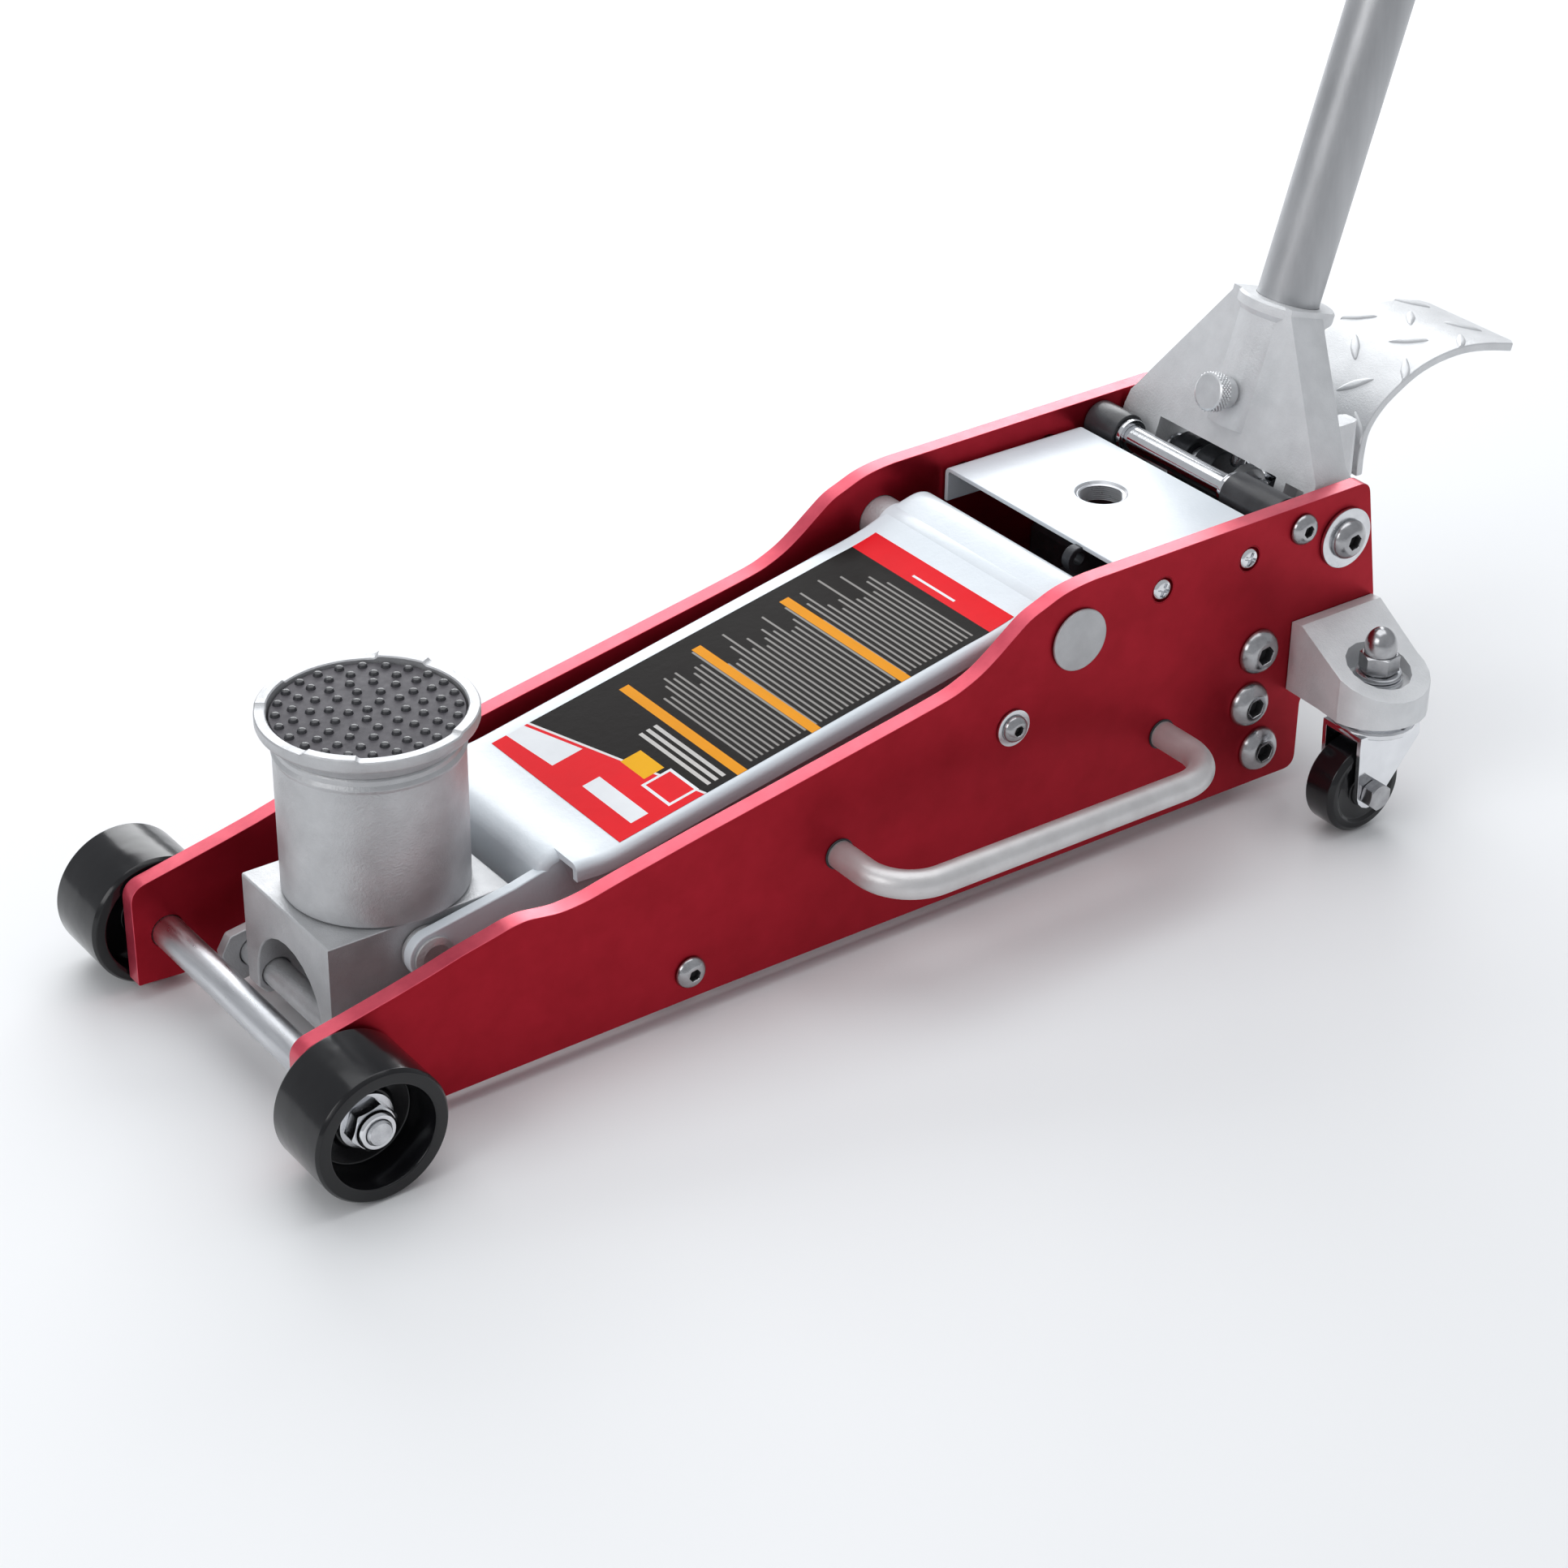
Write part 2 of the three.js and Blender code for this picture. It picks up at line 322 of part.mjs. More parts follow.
// geometry made with X = -w, Y = y, Z = u is leaned about Y and moved to the pivot
const lean = (g) => { g.rotateY(rad(HANDLE_LEAN)); g.translate(YOKE_PIVOT[0], 0, YOKE_PIVOT[1]); return g; };
const rollX = ROLLER_R * Math.cos(rad(ROLLER_PHI)), rollZ = ROLLER_R * Math.sin(rad(ROLLER_PHI));
{
  const face = [[-21.5, 96], [-21.5, 93], [-70, 22], [-71.5, 14], [-71.5, -19], [71.5, -19], [71.5, 14], [70, 22], [21.5, 93], [21.5, 96]];
  const side = [[-18, 96], [-18, 8], ...arc(0, 0, 18, 170, 370, 12), [12, 22], [6.5, 30], [5.5, 80], [5.5, 96]];
  const A = M(prismYZ(face.slice().reverse(), -26, 26));
  const B = M(prismXZ(side, -80, 80));
  let y = A.intersect(B);
  // open back and the gap between the legs
  const pocket = [[-16, 86], [-62.5, 19], [-62.5, -30], [62.5, -30], [62.5, 19], [16, 86]];
  y = y.subtract(M(prismYZ(pocket.slice().reverse(), -11, 40)));
  y = y.subtract(M(box(-30, 30, -44, 44, -30, 16.5)));
  const legs = M(prismXZ([...arc(0, 0, 18, 180, 360, 12), [18, 14], [-11.5, 14]], -71.5, -44)).add(M(prismXZ([...arc(0, 0, 18, 180, 360, 12), [18, 14], [-11.5, 14]], 44, 71.5)));
  y = y.add(legs);
  // socket sleeve and collar round the handle
  const sleeve = M(turnZ([[0, 28], [22.4, 28], [22.4, 96], [0, 96]], 0, 0, 24)).intersect(M(box(-23, 40, -21.5, 21.5, 20, 110)));
  const collar = M(turnZ([[0, 87], [22.4, 87], [25, 90], [25, 94.6], [24, 96], [0, 96]], 0, 0, 24)).intersect(M(box(-26, 40, -21.5, 21.5, 20, 110)));
  y = y.add(sleeve).add(collar);
  // lugs that hold the roller and the pedal
  for (const s of [-1, 1]) {
    const lug = M(prismXY([[12, -5.5], [50, -5.5], [53, -4], [53.4, 0], [53, 4], [50, 5.5], [12, 5.5]], 0, 31)).translate([0, s * 28, 0]);
    y = y.add(M(lean0(toGeometry(lug))));
    y = y.add(M(box(-3, 5, s > 0 ? 22.5 : -64, s > 0 ? 64 : -22.5, 17, 30)));
    y = y.add(M(lean0(toGeometry(M(box(4, 16, s > 0 ? 22.5 : -33.5, s > 0 ? 33.5 : -22.5, 19, 31))))));
  }
  y = y.subtract(M(turnZ([[0, 20], [HANDLE_R + GAP, 20], [HANDLE_R + GAP, 120], [0, 120]], 0, 0, 24)));
  y = y.subtract(M(turnX([[0, -40], [5.3, -40], [5.3, 0], [0, 0]], 0, 45, 12)));
  for (const s of [-1, 1]) {
    y = y.subtract(M(turnY([[0, -90], [8.3, -90], [8.3, 90], [0, 90]], 0, 0, 16)));
    y = y.subtract(M(box(-30, -8, s > 0 ? 51 : -64, s > 0 ? 64 : -51, -30, s > 0 ? 2 : 16)));
  }
  add('handle_yoke', lean(toGeometry(y)), CAST);
  add('pump_roller', turnY([[0, -22.2], [4, -22.2], [4, -17.5], [9, -17.5], [9, -5.5], [4, -5.5], [4, 5.5], [9, 5.5], [9, 17.5], [4, 17.5], [4, 22.2], [0, 22.2]], YOKE_PIVOT[0] + rollX, YOKE_PIVOT[1] + rollZ, 12), ZINC);
  const ts = turnX([[0, -37], [9.5, -37], [10.5, -36], [10.5, -29.5], [9, -28.6], [9, -22.9], [5, -22.9], [5, -16.8], [0, -16.8]], 0, 45, 12);
  add('thumb_screw', lean(ts), ZINC);
}
// removes the lean so pieces placed upright at the pivot can join the leaned casting
function lean0(g) { g.rotateY(-rad(HANDLE_LEAN)); return g; }
{
  const top = [[638.4, 131], [638.6, 143], [641, 156], [648.6, 166.8], [660, 175.4], [678, 184], [702, 188], [722, 186.4], [745, 181]];
  const t = 4.5, n = top.length, low = [];
  for (let i = 0; i < n; i++) {
    const a = top[Math.max(0, i - 1)], b = top[Math.min(n - 1, i + 1)];
    const dx = b[0] - a[0], dz = b[1] - a[1], l = Math.hypot(dx, dz);
    low.push([top[i][0] + (dz / l) * t, top[i][1] - (dx / l) * t]);
  }
  const strip = M(prismXZ([...top, ...low.reverse()].reverse(), -50, 60));
  const plan = M(prismXY([[625, -30], [690, -31], [741, -34.5], [743.6, -33], [744.6, -29], [744.6, 31], [743.6, 35], [741, 36.5], [625, 35]], 100, 200));
  add('foot_pedal', toGeometry(strip.intersect(plan)), CAST);
}

// ---- handle ----
{
  const ri = 13.8;
  add('handle_lower', lean(turnZ([[ri, HANDLE_LOW], [HANDLE_R, HANDLE_LOW], [HANDLE_R, HANDLE_JOIN], [ri, HANDLE_JOIN], [ri, HANDLE_LOW]], 0, 0, 20)), TUBE);
  add('handle_upper', lean(turnZ([[0, HANDLE_JOIN - 70], [12.5, HANDLE_JOIN - 70], [13.5, HANDLE_JOIN - 68], [13.5, HANDLE_JOIN + GAP], [HANDLE_R, HANDLE_JOIN + GAP], [HANDLE_R, HANDLE_TOP - 2], [14.5, HANDLE_TOP], [0, HANDLE_TOP]], 0, 0, 20)), TUBE);
  const sleeve = (a, b, r, rr) => lean(turnZ([[HANDLE_R + GAP, a], [r - rr, a], [r, a + rr], [r, b - rr], [r - rr, b], [HANDLE_R + GAP, b], [HANDLE_R + GAP, a]], 0, 0, 20));
  add('handle_grip', sleeve(880, HANDLE_TOP - 3, 18.6, 1.2), RUBBER);
  add('handle_bumper', sleeve(330, 470, 23.5, 3), RUBBER);
  add('release_rod', lean(turnZ([[0, 6], [3, 6], [4, 8], [4, 32], [13.4, 32], [13.4, 40], [0, 40]], 0, 0, 10)), ZINC);
}

// ---- rear casters ----
{
  const cy = -CASTER_Y, cx = CASTER_X;
  // bracket seen from above
  const plan = [[549, -PLATE_OUT - GAP], ...arc(cx, cy, 26, 180, 360, 12).map(([x, y]) => [x, y]), [603.5, -PLATE_OUT - GAP]];
  const prof = [[-PLATE_OUT - GAP, 57.7], [-PLATE_OUT - GAP, 96], [-91, 98], [-160, 76.4], [-160, 64.4], [-112, 61.4]];
  let b = M(prismXY(plan, 40, 120)).intersect(M(prismYZ(prof.slice().reverse(), 500, 640)));
  b = b.subtract(M(turnZ([[0, 40], [7.3, 40], [7.3, 78], [16.6, 78], [16.9, 120], [0, 120]], CASTER_X, cy, 16)));
  b = b.subtract(M(turnZ([[0, 40], [18.6, 40], [18.6, 66.5], [0, 66.5]], CASTER_X, cy, 16)));
  both('caster_bracket', toGeometry(b), CAST);
  const hub = CASTER_X - CASTER_TRAIL;
  // swivel fork: raceway, stem, sheet crown and two cheeks
  const stem = M(turnZ([[0, 57], [18, 57], [18, 64], [16, 66.2], [7, 66.2], [7, 85.6], [0, 85.6]], CASTER_X, cy, 16));
  const crown = M(prismXY([[CASTER_X - 21, cy - 13.5], [CASTER_X + 14, cy - 13.5], [CASTER_X + 20, cy - 8], [CASTER_X + 20, cy + 8], [CASTER_X + 14, cy + 13.5], [CASTER_X - 21, cy + 13.5]], 54.4, 57.4));
  const cheek = [[CASTER_X - 21, 57], [CASTER_X - 21, 52], ...arc(hub, CASTER_R, 9, 190, 330, 6), [CASTER_X + 20, 48], [CASTER_X + 19, 57]];
  let f = stem.add(crown).add(M(turnZ([[0, 55], [20.5, 55], [21.5, 56], [21.5, 58], [20.5, 58.8], [0, 58.8]], CASTER_X, cy, 20)));
  const axleHole = M(turnY([[0, cy - 40], [4.3, cy - 40], [4.3, cy + 40], [0, cy + 40]], hub, CASTER_R, 12));
  f = f.add(M(prismXZ(cheek, cy - 13.5, cy - 11))).add(M(prismXZ(cheek, cy + 11, cy + 13.5))).subtract(axleHole);
  both('caster_fork', toGeometry(f), ZINC);
  const hex = M(prismXY(hexRing(CASTER_X, cy, 17.5, 10), 85.9 - 1.6, 93.6)).subtract(M(turnZ([[0, 60], [7.3, 60], [7.3, 85.9], [0, 85.9]], CASTER_X, cy, 16)));
  const washer = M(turnZ([[7.3, 78.3], [12.2, 78.3], [12.2, 84.5], [7.3, 84.5], [7.3, 78.3]], CASTER_X, cy, 16));
  const dome = M(turnZ([[0, 93.5], [8, 93.5], [8, 98.5], [7, 103], [4.4, 106.3], [0, 107.6]], CASTER_X, cy, 12));
  both('acorn_nut', toGeometry(hex.add(washer).add(dome)), ZINC);
  const w = [[4.3, cy - 10.6], [9, cy - 10.6], [9, cy - 8.5], [17, cy - 8.5], [18.6, cy - 9.8], [21.6, cy - 9.8], [CASTER_R, cy - 7.6], [CASTER_R, cy + 7.6], [21.6, cy + 9.8], [18.6, cy + 9.8], [17, cy + 8.5], [9, cy + 8.5], [9, cy + 10.6], [4.3, cy + 10.6]];
  both('caster_wheel', turnY([...w, w[0]], hub, CASTER_R, 20), BLACK);
  const boltHead = M(prismXZ(hexRing(hub, CASTER_R, 13, 20).reverse(), cy - 21, cy - 13.8));
  const shank = M(turnY([[0, cy - 16], [4, cy - 16], [4, cy + 19.4], [0, cy + 19.4]], hub, CASTER_R, 10));
  const nut = M(prismXZ(hexRing(hub, CASTER_R, 13, 5).reverse(), cy + 13.8, cy + 20.4));
  both('caster_axle', toGeometry(boltHead.add(shank).add(nut)), ZINC);
}

// ---- carrying handles ----
{
  const b = 25, pts = [];
  const y0 = -PLATE_OUT - GAP;
  pts.push([CARRY_X0, y0], [CARRY_X0, -CARRY_Y + b]);
  for (let i = 1; i <= 6; i++) { const a = (i / 6) * Math.PI / 2; pts.push([CARRY_X0 + b - b * Math.cos(a), -CARRY_Y + b - b * Math.sin(a)]); }
  for (let i = 0; i <= 6; i++) { const a = (i / 6) * Math.PI / 2; pts.push([CARRY_X1 - b + b * Math.sin(a), -CARRY_Y + b - b * Math.cos(a)]); }
  pts.push([CARRY_X1, y0]);
  class Polyline extends THREE.Curve {
    constructor(p) { super(); this.p = p; }
    getPoint(t, out = new THREE.Vector3()) {
      const k = Math.min(this.p.length - 2, Math.floor(t * (this.p.length - 1) + 1e-9)), f = t * (this.p.length - 1) - k;
      const a = this.p[k], c = this.p[k + 1];
      return out.set(a[0] + (c[0] - a[0]) * f, a[1] + (c[1] - a[1]) * f, CARRY_Z);
    }
    getPointAt(u, out) { return this.getPoint(u, out); }
    getSpacedPoints(n) { const r = []; for (let i = 0; i <= n; i++) r.push(this.getPoint(i / n)); return r; }
  }
  const path = new Polyline(pts);
  const g = new THREE.ExtrudeGeometry(poly(ring(0, 0, CARRY_R, 12)), { steps: pts.length - 1, bevelEnabled: false, extrudePath: path });
  both('carry_handle', g, TUBE);
}

export default part;
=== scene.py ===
import bpy, bmesh, json, math, random
from mathutils import Vector, Matrix


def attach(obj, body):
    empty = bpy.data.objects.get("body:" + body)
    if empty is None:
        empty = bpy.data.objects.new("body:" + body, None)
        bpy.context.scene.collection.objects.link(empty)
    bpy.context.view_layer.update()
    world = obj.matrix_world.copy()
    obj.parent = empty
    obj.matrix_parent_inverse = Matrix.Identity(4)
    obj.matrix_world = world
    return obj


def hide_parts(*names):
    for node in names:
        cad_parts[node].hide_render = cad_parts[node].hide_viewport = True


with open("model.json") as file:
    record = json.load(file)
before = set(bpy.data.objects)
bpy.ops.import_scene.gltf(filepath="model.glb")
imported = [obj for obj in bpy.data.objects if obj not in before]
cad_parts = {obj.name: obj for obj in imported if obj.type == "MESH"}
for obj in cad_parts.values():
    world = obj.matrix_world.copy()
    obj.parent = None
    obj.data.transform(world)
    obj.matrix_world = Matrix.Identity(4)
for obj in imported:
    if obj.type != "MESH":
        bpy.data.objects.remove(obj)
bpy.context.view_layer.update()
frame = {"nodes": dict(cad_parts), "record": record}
NODES = frame["nodes"]
BODY_OF = {n: b for b, ns in frame["record"]["behaviour"]["bodies"].items() for n in ns}
CX = 429.58                      # working X (0 at the front axle) to the row frame, mm
rad = math.radians

# ---------------------------------------------------------------- geometry kit (millimetres in, metres out)
def W(x, y, z):
    return ((x - CX) / 1000.0, y / 1000.0, z / 1000.0)

PIV = (579.8, 134.6)
LEAN = rad(17)
def leaned(x, y, z):
    """yoke-local (x back, y, z up the handle) to working coordinates"""
    return (PIV[0] + x * math.cos(LEAN) + z * math.sin(LEAN), y, PIV[1] - x * math.sin(LEAN) + z * math.cos(LEAN))

def place(axis, c):
    if axis == "Y":
        return lambda r, t, a: (c[0] + r * math.cos(t), a, c[1] + r * math.sin(t))
    if axis == "Z":
        return lambda r, t, a: (c[0] + r * math.cos(t), c[1] + r * math.sin(t), a)
    if axis == "X":
        return lambda r, t, a: (a, c[0] + r * math.cos(t), c[1] + r * math.sin(t))
    if axis == "L":      # along the handle
        return lambda r, t, a: leaned(r * math.cos(t), r * math.sin(t), a)
    if axis == "LX":     # along the yoke's front-to-back axis, centre (y, u)
        return lambda r, t, a: leaned(a, c[0] + r * math.cos(t), c[1] + r * math.sin(t))

def new_obj(name, verts, faces, material, body, replaces=(), slot=None, sharp=32, bevel=None, seg=2, limit=30, merge=True):
    me = bpy.data.meshes.new(name)
    me.from_pydata([W(*v) for v in verts], [], faces)
    return finish_mesh(name, me, material, body, replaces, slot, sharp, bevel, seg, limit, merge)

def finish_mesh(name, me, material, body, replaces=(), slot=None, sharp=32, bevel=None, seg=2, limit=30, merge=True, dissolve=False):
    bm = bmesh.new(); bm.from_mesh(me)
    if merge:
        bmesh.ops.remove_doubles(bm, verts=bm.verts, dist=2e-6)
    if dissolve:
        bmesh.ops.dissolve_limit(bm, angle_limit=rad(0.6), verts=bm.verts, edges=bm.edges)
    bmesh.ops.recalc_face_normals(bm, faces=bm.faces)
    bm.to_mesh(me); bm.free()
    me.shade_smooth()
    me.set_sharp_from_angle(angle=rad(sharp))
    ob = bpy.data.objects.new(name, me)
    bpy.context.scene.collection.objects.link(ob)
    me.materials.clear(); me.materials.append(material)
    if bevel:
        m = ob.modifiers.new("edge", "BEVEL")
        m.width = bevel / 1000.0; m.segments = seg; m.limit_method = "ANGLE"; m.angle_limit = rad(limit)
        m.harden_normals = True; m.use_clamp_overlap = True; m.miter_outer = "MITER_ARC"
    if body:
        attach(ob, body)
    if replaces:
        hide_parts(*([replaces] if isinstance(replaces, str) else list(replaces)))
    return ob

def fillet(pts, r=0.6, seg=3, closed=False, keep=()):
    """rounds the corners of a 2-D polyline"""
    out, n = [], len(pts)
    for i, p in enumerate(pts):
        if (not closed and i in (0, n - 1)) or i in keep:
            out.append(p); continue
        a, b = pts[i - 1], pts[(i + 1) % n]
        if callable(a[0]) or callable(p[0]) or callable(b[0]):
            out.append(p); continue
        v1 = (a[0] - p[0], a[1] - p[1]); v2 = (b[0] - p[0], b[1] - p[1])
        l1, l2 = math.hypot(*v1), math.hypot(*v2)
        if l1 < 1e-6 or l2 < 1e-6:
            continue
        cosang = max(-1, min(1, (v1[0] * v2[0] + v1[1] * v2[1]) / (l1 * l2)))
        half = math.acos(cosang) / 2
        if half > rad(84):
            out.append(p); continue
        d = min(r / math.tan(half), 0.45 * l1, 0.45 * l2)
        s = (p[0] + v1[0] / l1 * d, p[1] + v1[1] / l1 * d); e = (p[0] + v2[0] / l2 * d, p[1] + v2[1] / l2 * d)
        for k in range(seg + 1):
            t = k / seg
            out.append(((1 - t) ** 2 * s[0] + 2 * t * (1 - t) * p[0] + t * t * e[0], (1 - t) ** 2 * s[1] + 2 * t * (1 - t) * p[1] + t * t * e[1]))
    return out

def polar(name, rings, axis, c, material, body, n=72, closed=False, t0=0.0, round_=None, mirror=False, **kw):
    """surface of revolution; a ring is (radius or function of angle, position along the axis)"""
    if round_:
        rings = fillet(rings, round_, 3, closed)
    f = place(axis, c)
    verts, faces = [], []
    for r, a in rings:
        for i in range(n):
            t = 2 * math.pi * i / n
            rr = r(t) if callable(r) else r
            aa = a(t) if callable(a) else a
            p = f(max(rr, 0.0), t + t0, aa)
            verts.append((p[0], -p[1], p[2]) if mirror else p)
    m = len(rings)
    for j in range(m if closed else m - 1):
        k = (j + 1) % m
        for i in range(n):
            h = (i + 1) % n
            q = [j * n + i, j * n + h, k * n + h, k * n + i]
            r0, r1 = rings[j][0], rings[k][0]
            z0 = (not callable(r0)) and r0 < 1e-9
            z1 = (not callable(r1)) and r1 < 1e-9
            if z0 and z1:
                continue
            faces.append([q[0], q[2], q[3]] if z0 else ([q[0], q[1], q[2]] if z1 else q))
    return new_obj(name, verts, faces, material, body, **kw)

def hexr(af, a0=0.0):
    """radius of a hexagon of that width across flats"""
    def f(t):
        u = (t - a0) % (math.pi / 3) - math.pi / 6
        return af / 2 / math.cos(u)
    return f

def hex_nut(name, axis, c, a0, a1, af, bore, material, body, rot=0.0, both_ends=True, **kw):
    """hexagon with the corners turned off to a chamfer; a1 is the outer end"""
    R = hexr(af, rad(rot)); s = 1 if a1 > a0 else -1
    rc = af / 2 * 0.985
    low = lambda t: a1 - s * (R(t) - rc) * 0.55
    lowb = (lambda t: a0 + s * (R(t) - rc) * 0.55) if both_ends else a0
    rings = [(bore, a0), (rc if both_ends else R, a0), (R, lowb), (R, low), (rc, a1), (bore + 0.7, a1), (bore, a1 - s * 0.7)]
    if bore == 0:
        rings = [(0, a0), (rc if both_ends else R, a0), (R, lowb), (R, low), (rc, a1), (0, a1)]
    return polar(name, rings, axis, c, material, body, n=72, closed=bore > 0, sharp=20, **kw)

def socket_head(name, axis, c, a0, r, h, hexw, material, body, flange=0.0, s=-1, **kw):
    """domed head with a hexagon socket; the head stands from a0 towards s"""
    H = hexr(hexw, rad(10))
    base, re = 0.7 + flange, hexw * 0.64
    rise = h - base
    Rs = (r * r - re * re + rise * rise) / (2 * rise)          # sphere through the rim and the socket's mouth
    zc = rise - math.sqrt(max(Rs * Rs - re * re, 0.0)) if Rs > re else 0.0
    R2 = math.sqrt(re * re + (rise - zc) ** 2)
    rings = [(0, a0), (r - 0.3, a0), (r, a0 + s * 0.35), (r, a0 + s * base)]
    k = 12
    for i in range(1, k + 1):
        t = i / k
        rr = r + (re - r) * (1 - math.cos(t * math.pi / 2) if False else t) 
        q = 1 - ((rr - re) / (r - re)) ** 2
        rings.append((rr, a0 + s * (base + rise * (0.42 * math.sqrt(max(q, 0)) + 0.58 * q))))
    rings += [(lambda t: H(t) + 0.30, a0 + s * (h - 0.05)), (H, a0 + s * (h - 0.55)), (lambda t: H(t) * 0.99, a0 + s * (h * 0.22)), (0, a0 + s * (h * 0.10))]
    # the near-black sheet inside the hex socket is painted shade for the recess, not a real part
    polar(name + "_painted_socket_shade", [(0, a0 + s * (h * 0.24)), (lambda t: H(t) * 0.975, a0 + s * (h * 0.24)), (lambda t: H(t) * 0.985, a0 + s * (h - 0.9)), (lambda t: H(t) * 0.93, a0 + s * (h - 0.9)), (lambda t: H(t) * 0.92, a0 + s * (h * 0.32)), (0, a0 + s * (h * 0.32))], axis, c, PAINTED_SOCKET_SHADE, body, n=60, sharp=34, slot="dark_steel")
    return polar(name, rings, axis, c, material, body, n=60, sharp=34, **kw)

def loop_area(p):
    return sum(p[i][0] * p[(i + 1) % len(p)][1] - p[(i + 1) % len(p)][0] * p[i][1] for i in range(len(p))) / 2

def prism(name, pts, a0, a1, plane, material, body, holes=(), bevel=0.6, seg=2, tf=None, **kw):
    """outline with holes, given a thickness"""
    bm = bmesh.new()
    put = {"XZ": lambda p, a: (p[0], a, p[1]), "XY": lambda p, a: (p[0], p[1], a), "YZ": lambda p, a: (a, p[0], p[1])}[plane]
    if tf:
        put0 = put
        put = lambda p, a: tf(*put0(p, a))
    edges = []
    for lp in [pts, *holes]:
        vs = [bm.verts.new(W(*put(p, a0))) for p in lp]
        for i in range(len(vs)):
            edges.append(bm.edges.new((vs[i], vs[(i + 1) % len(vs)])))
    bmesh.ops.triangle_fill(bm, use_beauty=True, edges=edges)
    bmesh.ops.dissolve_limit(bm, angle_limit=rad(0.5), verts=[], edges=[e for e in bm.edges if not e.is_boundary])
    ex = bmesh.ops.extrude_face_region(bm, geom=list(bm.faces))
    moved = [v for v in ex["geom"] if isinstance(v, bmesh.types.BMVert)]
    d = Vector(W(*put((0, 0), a1))) - Vector(W(*put((0, 0), a0)))
    bmesh.ops.translate(bm, verts=moved, vec=d)
    me = bpy.data.meshes.new(name); bm.to_mesh(me); bm.free()
    return finish_mesh(name, me, material, body, bevel=bevel, seg=seg, **kw)

def circle(cx, cy, r, n=48):
    return [(cx + r * math.cos(2 * math.pi * i / n), cy + r * math.sin(2 * math.pi * i / n)) for i in range(n)]

def arc(cx, cy, r, a0, a1, n=16):
    return [(cx + r * math.cos(rad(a0 + (a1 - a0) * i / n)), cy + r * math.sin(rad(a0 + (a1 - a0) * i / n))) for i in range(n + 1)]

def smooth_line(pts, sub=4):
    """Catmull-Rom through a run of points"""
    out = []
    for i in range(len(pts) - 1):
        p0 = pts[max(0, i - 1)]; p1 = pts[i]; p2 = pts[i + 1]; p3 = pts[min(len(pts) - 1, i + 2)]
        for k in range(sub):
            t = k / sub
            out.append(tuple(0.5 * (2 * p1[d] + (p2[d] - p0[d]) * t + (2 * p0[d] - 5 * p1[d] + 4 * p2[d] - p3[d]) * t * t + (3 * p1[d] - p0[d] - 3 * p2[d] + p3[d]) * t ** 3) for d in range(len(p1))))
    out.append(pts[-1])
    return out

def refine(node, material, bevel=0.6, seg=2, limit=30, sharp=32, slot=None, name=None):
    """a finer copy of a CAD node: flat areas joined and the edges broken"""
    me = NODES[node].data.copy()
    return finish_mesh(name or node + "_body", me, material, BODY_OF[node], node, slot, sharp, bevel, seg, limit, True, True)

def tube_along(name, pts, r, material, body, n=32, caps=True, **kw):
    verts, faces = [], []
    P = [Vector(p) for p in pts]
    up = Vector((0, 0, 1))
    for i, p in enumerate(P):
        t = (P[min(i + 1, len(P) - 1)] - P[max(i - 1, 0)]).normalized()
        side = t.cross(up)
        if side.length < 1e-3:
            side = Vector((1, 0, 0))
        side.normalize(); u = side.cross(t).normalized()
        rr = r[i] if isinstance(r, list) else r
        for k in range(n):
            a = 2 * math.pi * k / n
            verts.append(tuple(p + side * rr * math.cos(a) + u * rr * math.sin(a)))
    for i in range(len(P) - 1):
        for k in range(n):
            h = (k + 1) % n
            faces.append([i * n + k, i * n + h, (i + 1) * n + h, (i + 1) * n + k])
    if caps:
        faces.append(list(range(n))); faces.append([(len(P) - 1) * n + k for k in range(n)])
    return new_obj(name, verts, faces, material, body, **kw)

# ---------------------------------------------------------------- materials
def node_mat(name):
    m = bpy.data.materials.new(name); m.use_nodes = True
    nt = m.node_tree; b = nt.nodes["Principled BSDF"]
    tc = nt.nodes.new("ShaderNodeTexCoord")
    return m, nt, b, tc

def noise(nt, tc, scale, detail=3.0, rough=0.55, coord="Object", stretch=None):
    t = nt.nodes.new("ShaderNodeTexNoise")
    t.inputs["Scale"].default_value = scale; t.inputs["Detail"].default_value = detail; t.inputs["Roughness"].default_value = rough
    if stretch:
        mp = nt.nodes.new("ShaderNodeMapping"); mp.inputs["Scale"].default_value = stretch
        nt.links.new(tc.outputs[coord], mp.inputs["Vector"]); nt.links.new(mp.outputs["Vector"], t.inputs["Vector"])
    else:
        nt.links.new(tc.outputs[coord], t.inputs["Vector"])
    return t.outputs["Fac"]

def ramp(nt, src, stops):
    r = nt.nodes.new("ShaderNodeValToRGB")
    el = r.color_ramp.elements
    while len(el) > 1:
        el.remove(el[-1])
    el[0].position = stops[0][0]; el[0].color = (*stops[0][1], 1)
    for p, c in stops[1:]:
        e = el.new(p); e.color = (*c, 1)
    nt.links.new(src, r.inputs["Fac"])
    return r.outputs["Color"]

def to_range(nt, src, a, b, lo=0.25, hi=0.75):
    m = nt.nodes.new("ShaderNodeMapRange")
    m.inputs["From Min"].default_value = lo; m.inputs["From Max"].default_value = hi
    m.inputs["To Min"].default_value = a; m.inputs["To Max"].default_value = b
    nt.links.new(src, m.inputs["Value"])
    return m.outputs["Result"]

def bump(nt, b, src, dist, strength=1.0, prev=None):
    n = nt.nodes.new("ShaderNodeBump")
    n.inputs["Strength"].default_value = strength; n.inputs["Distance"].default_value = dist
    nt.links.new(src, n.inputs["Height"])
    if prev is not None:
        nt.links.new(prev, n.inputs["Normal"])
    nt.links.new(n.outputs["Normal"], b.inputs["Normal"])
    return n.outputs["Normal"]

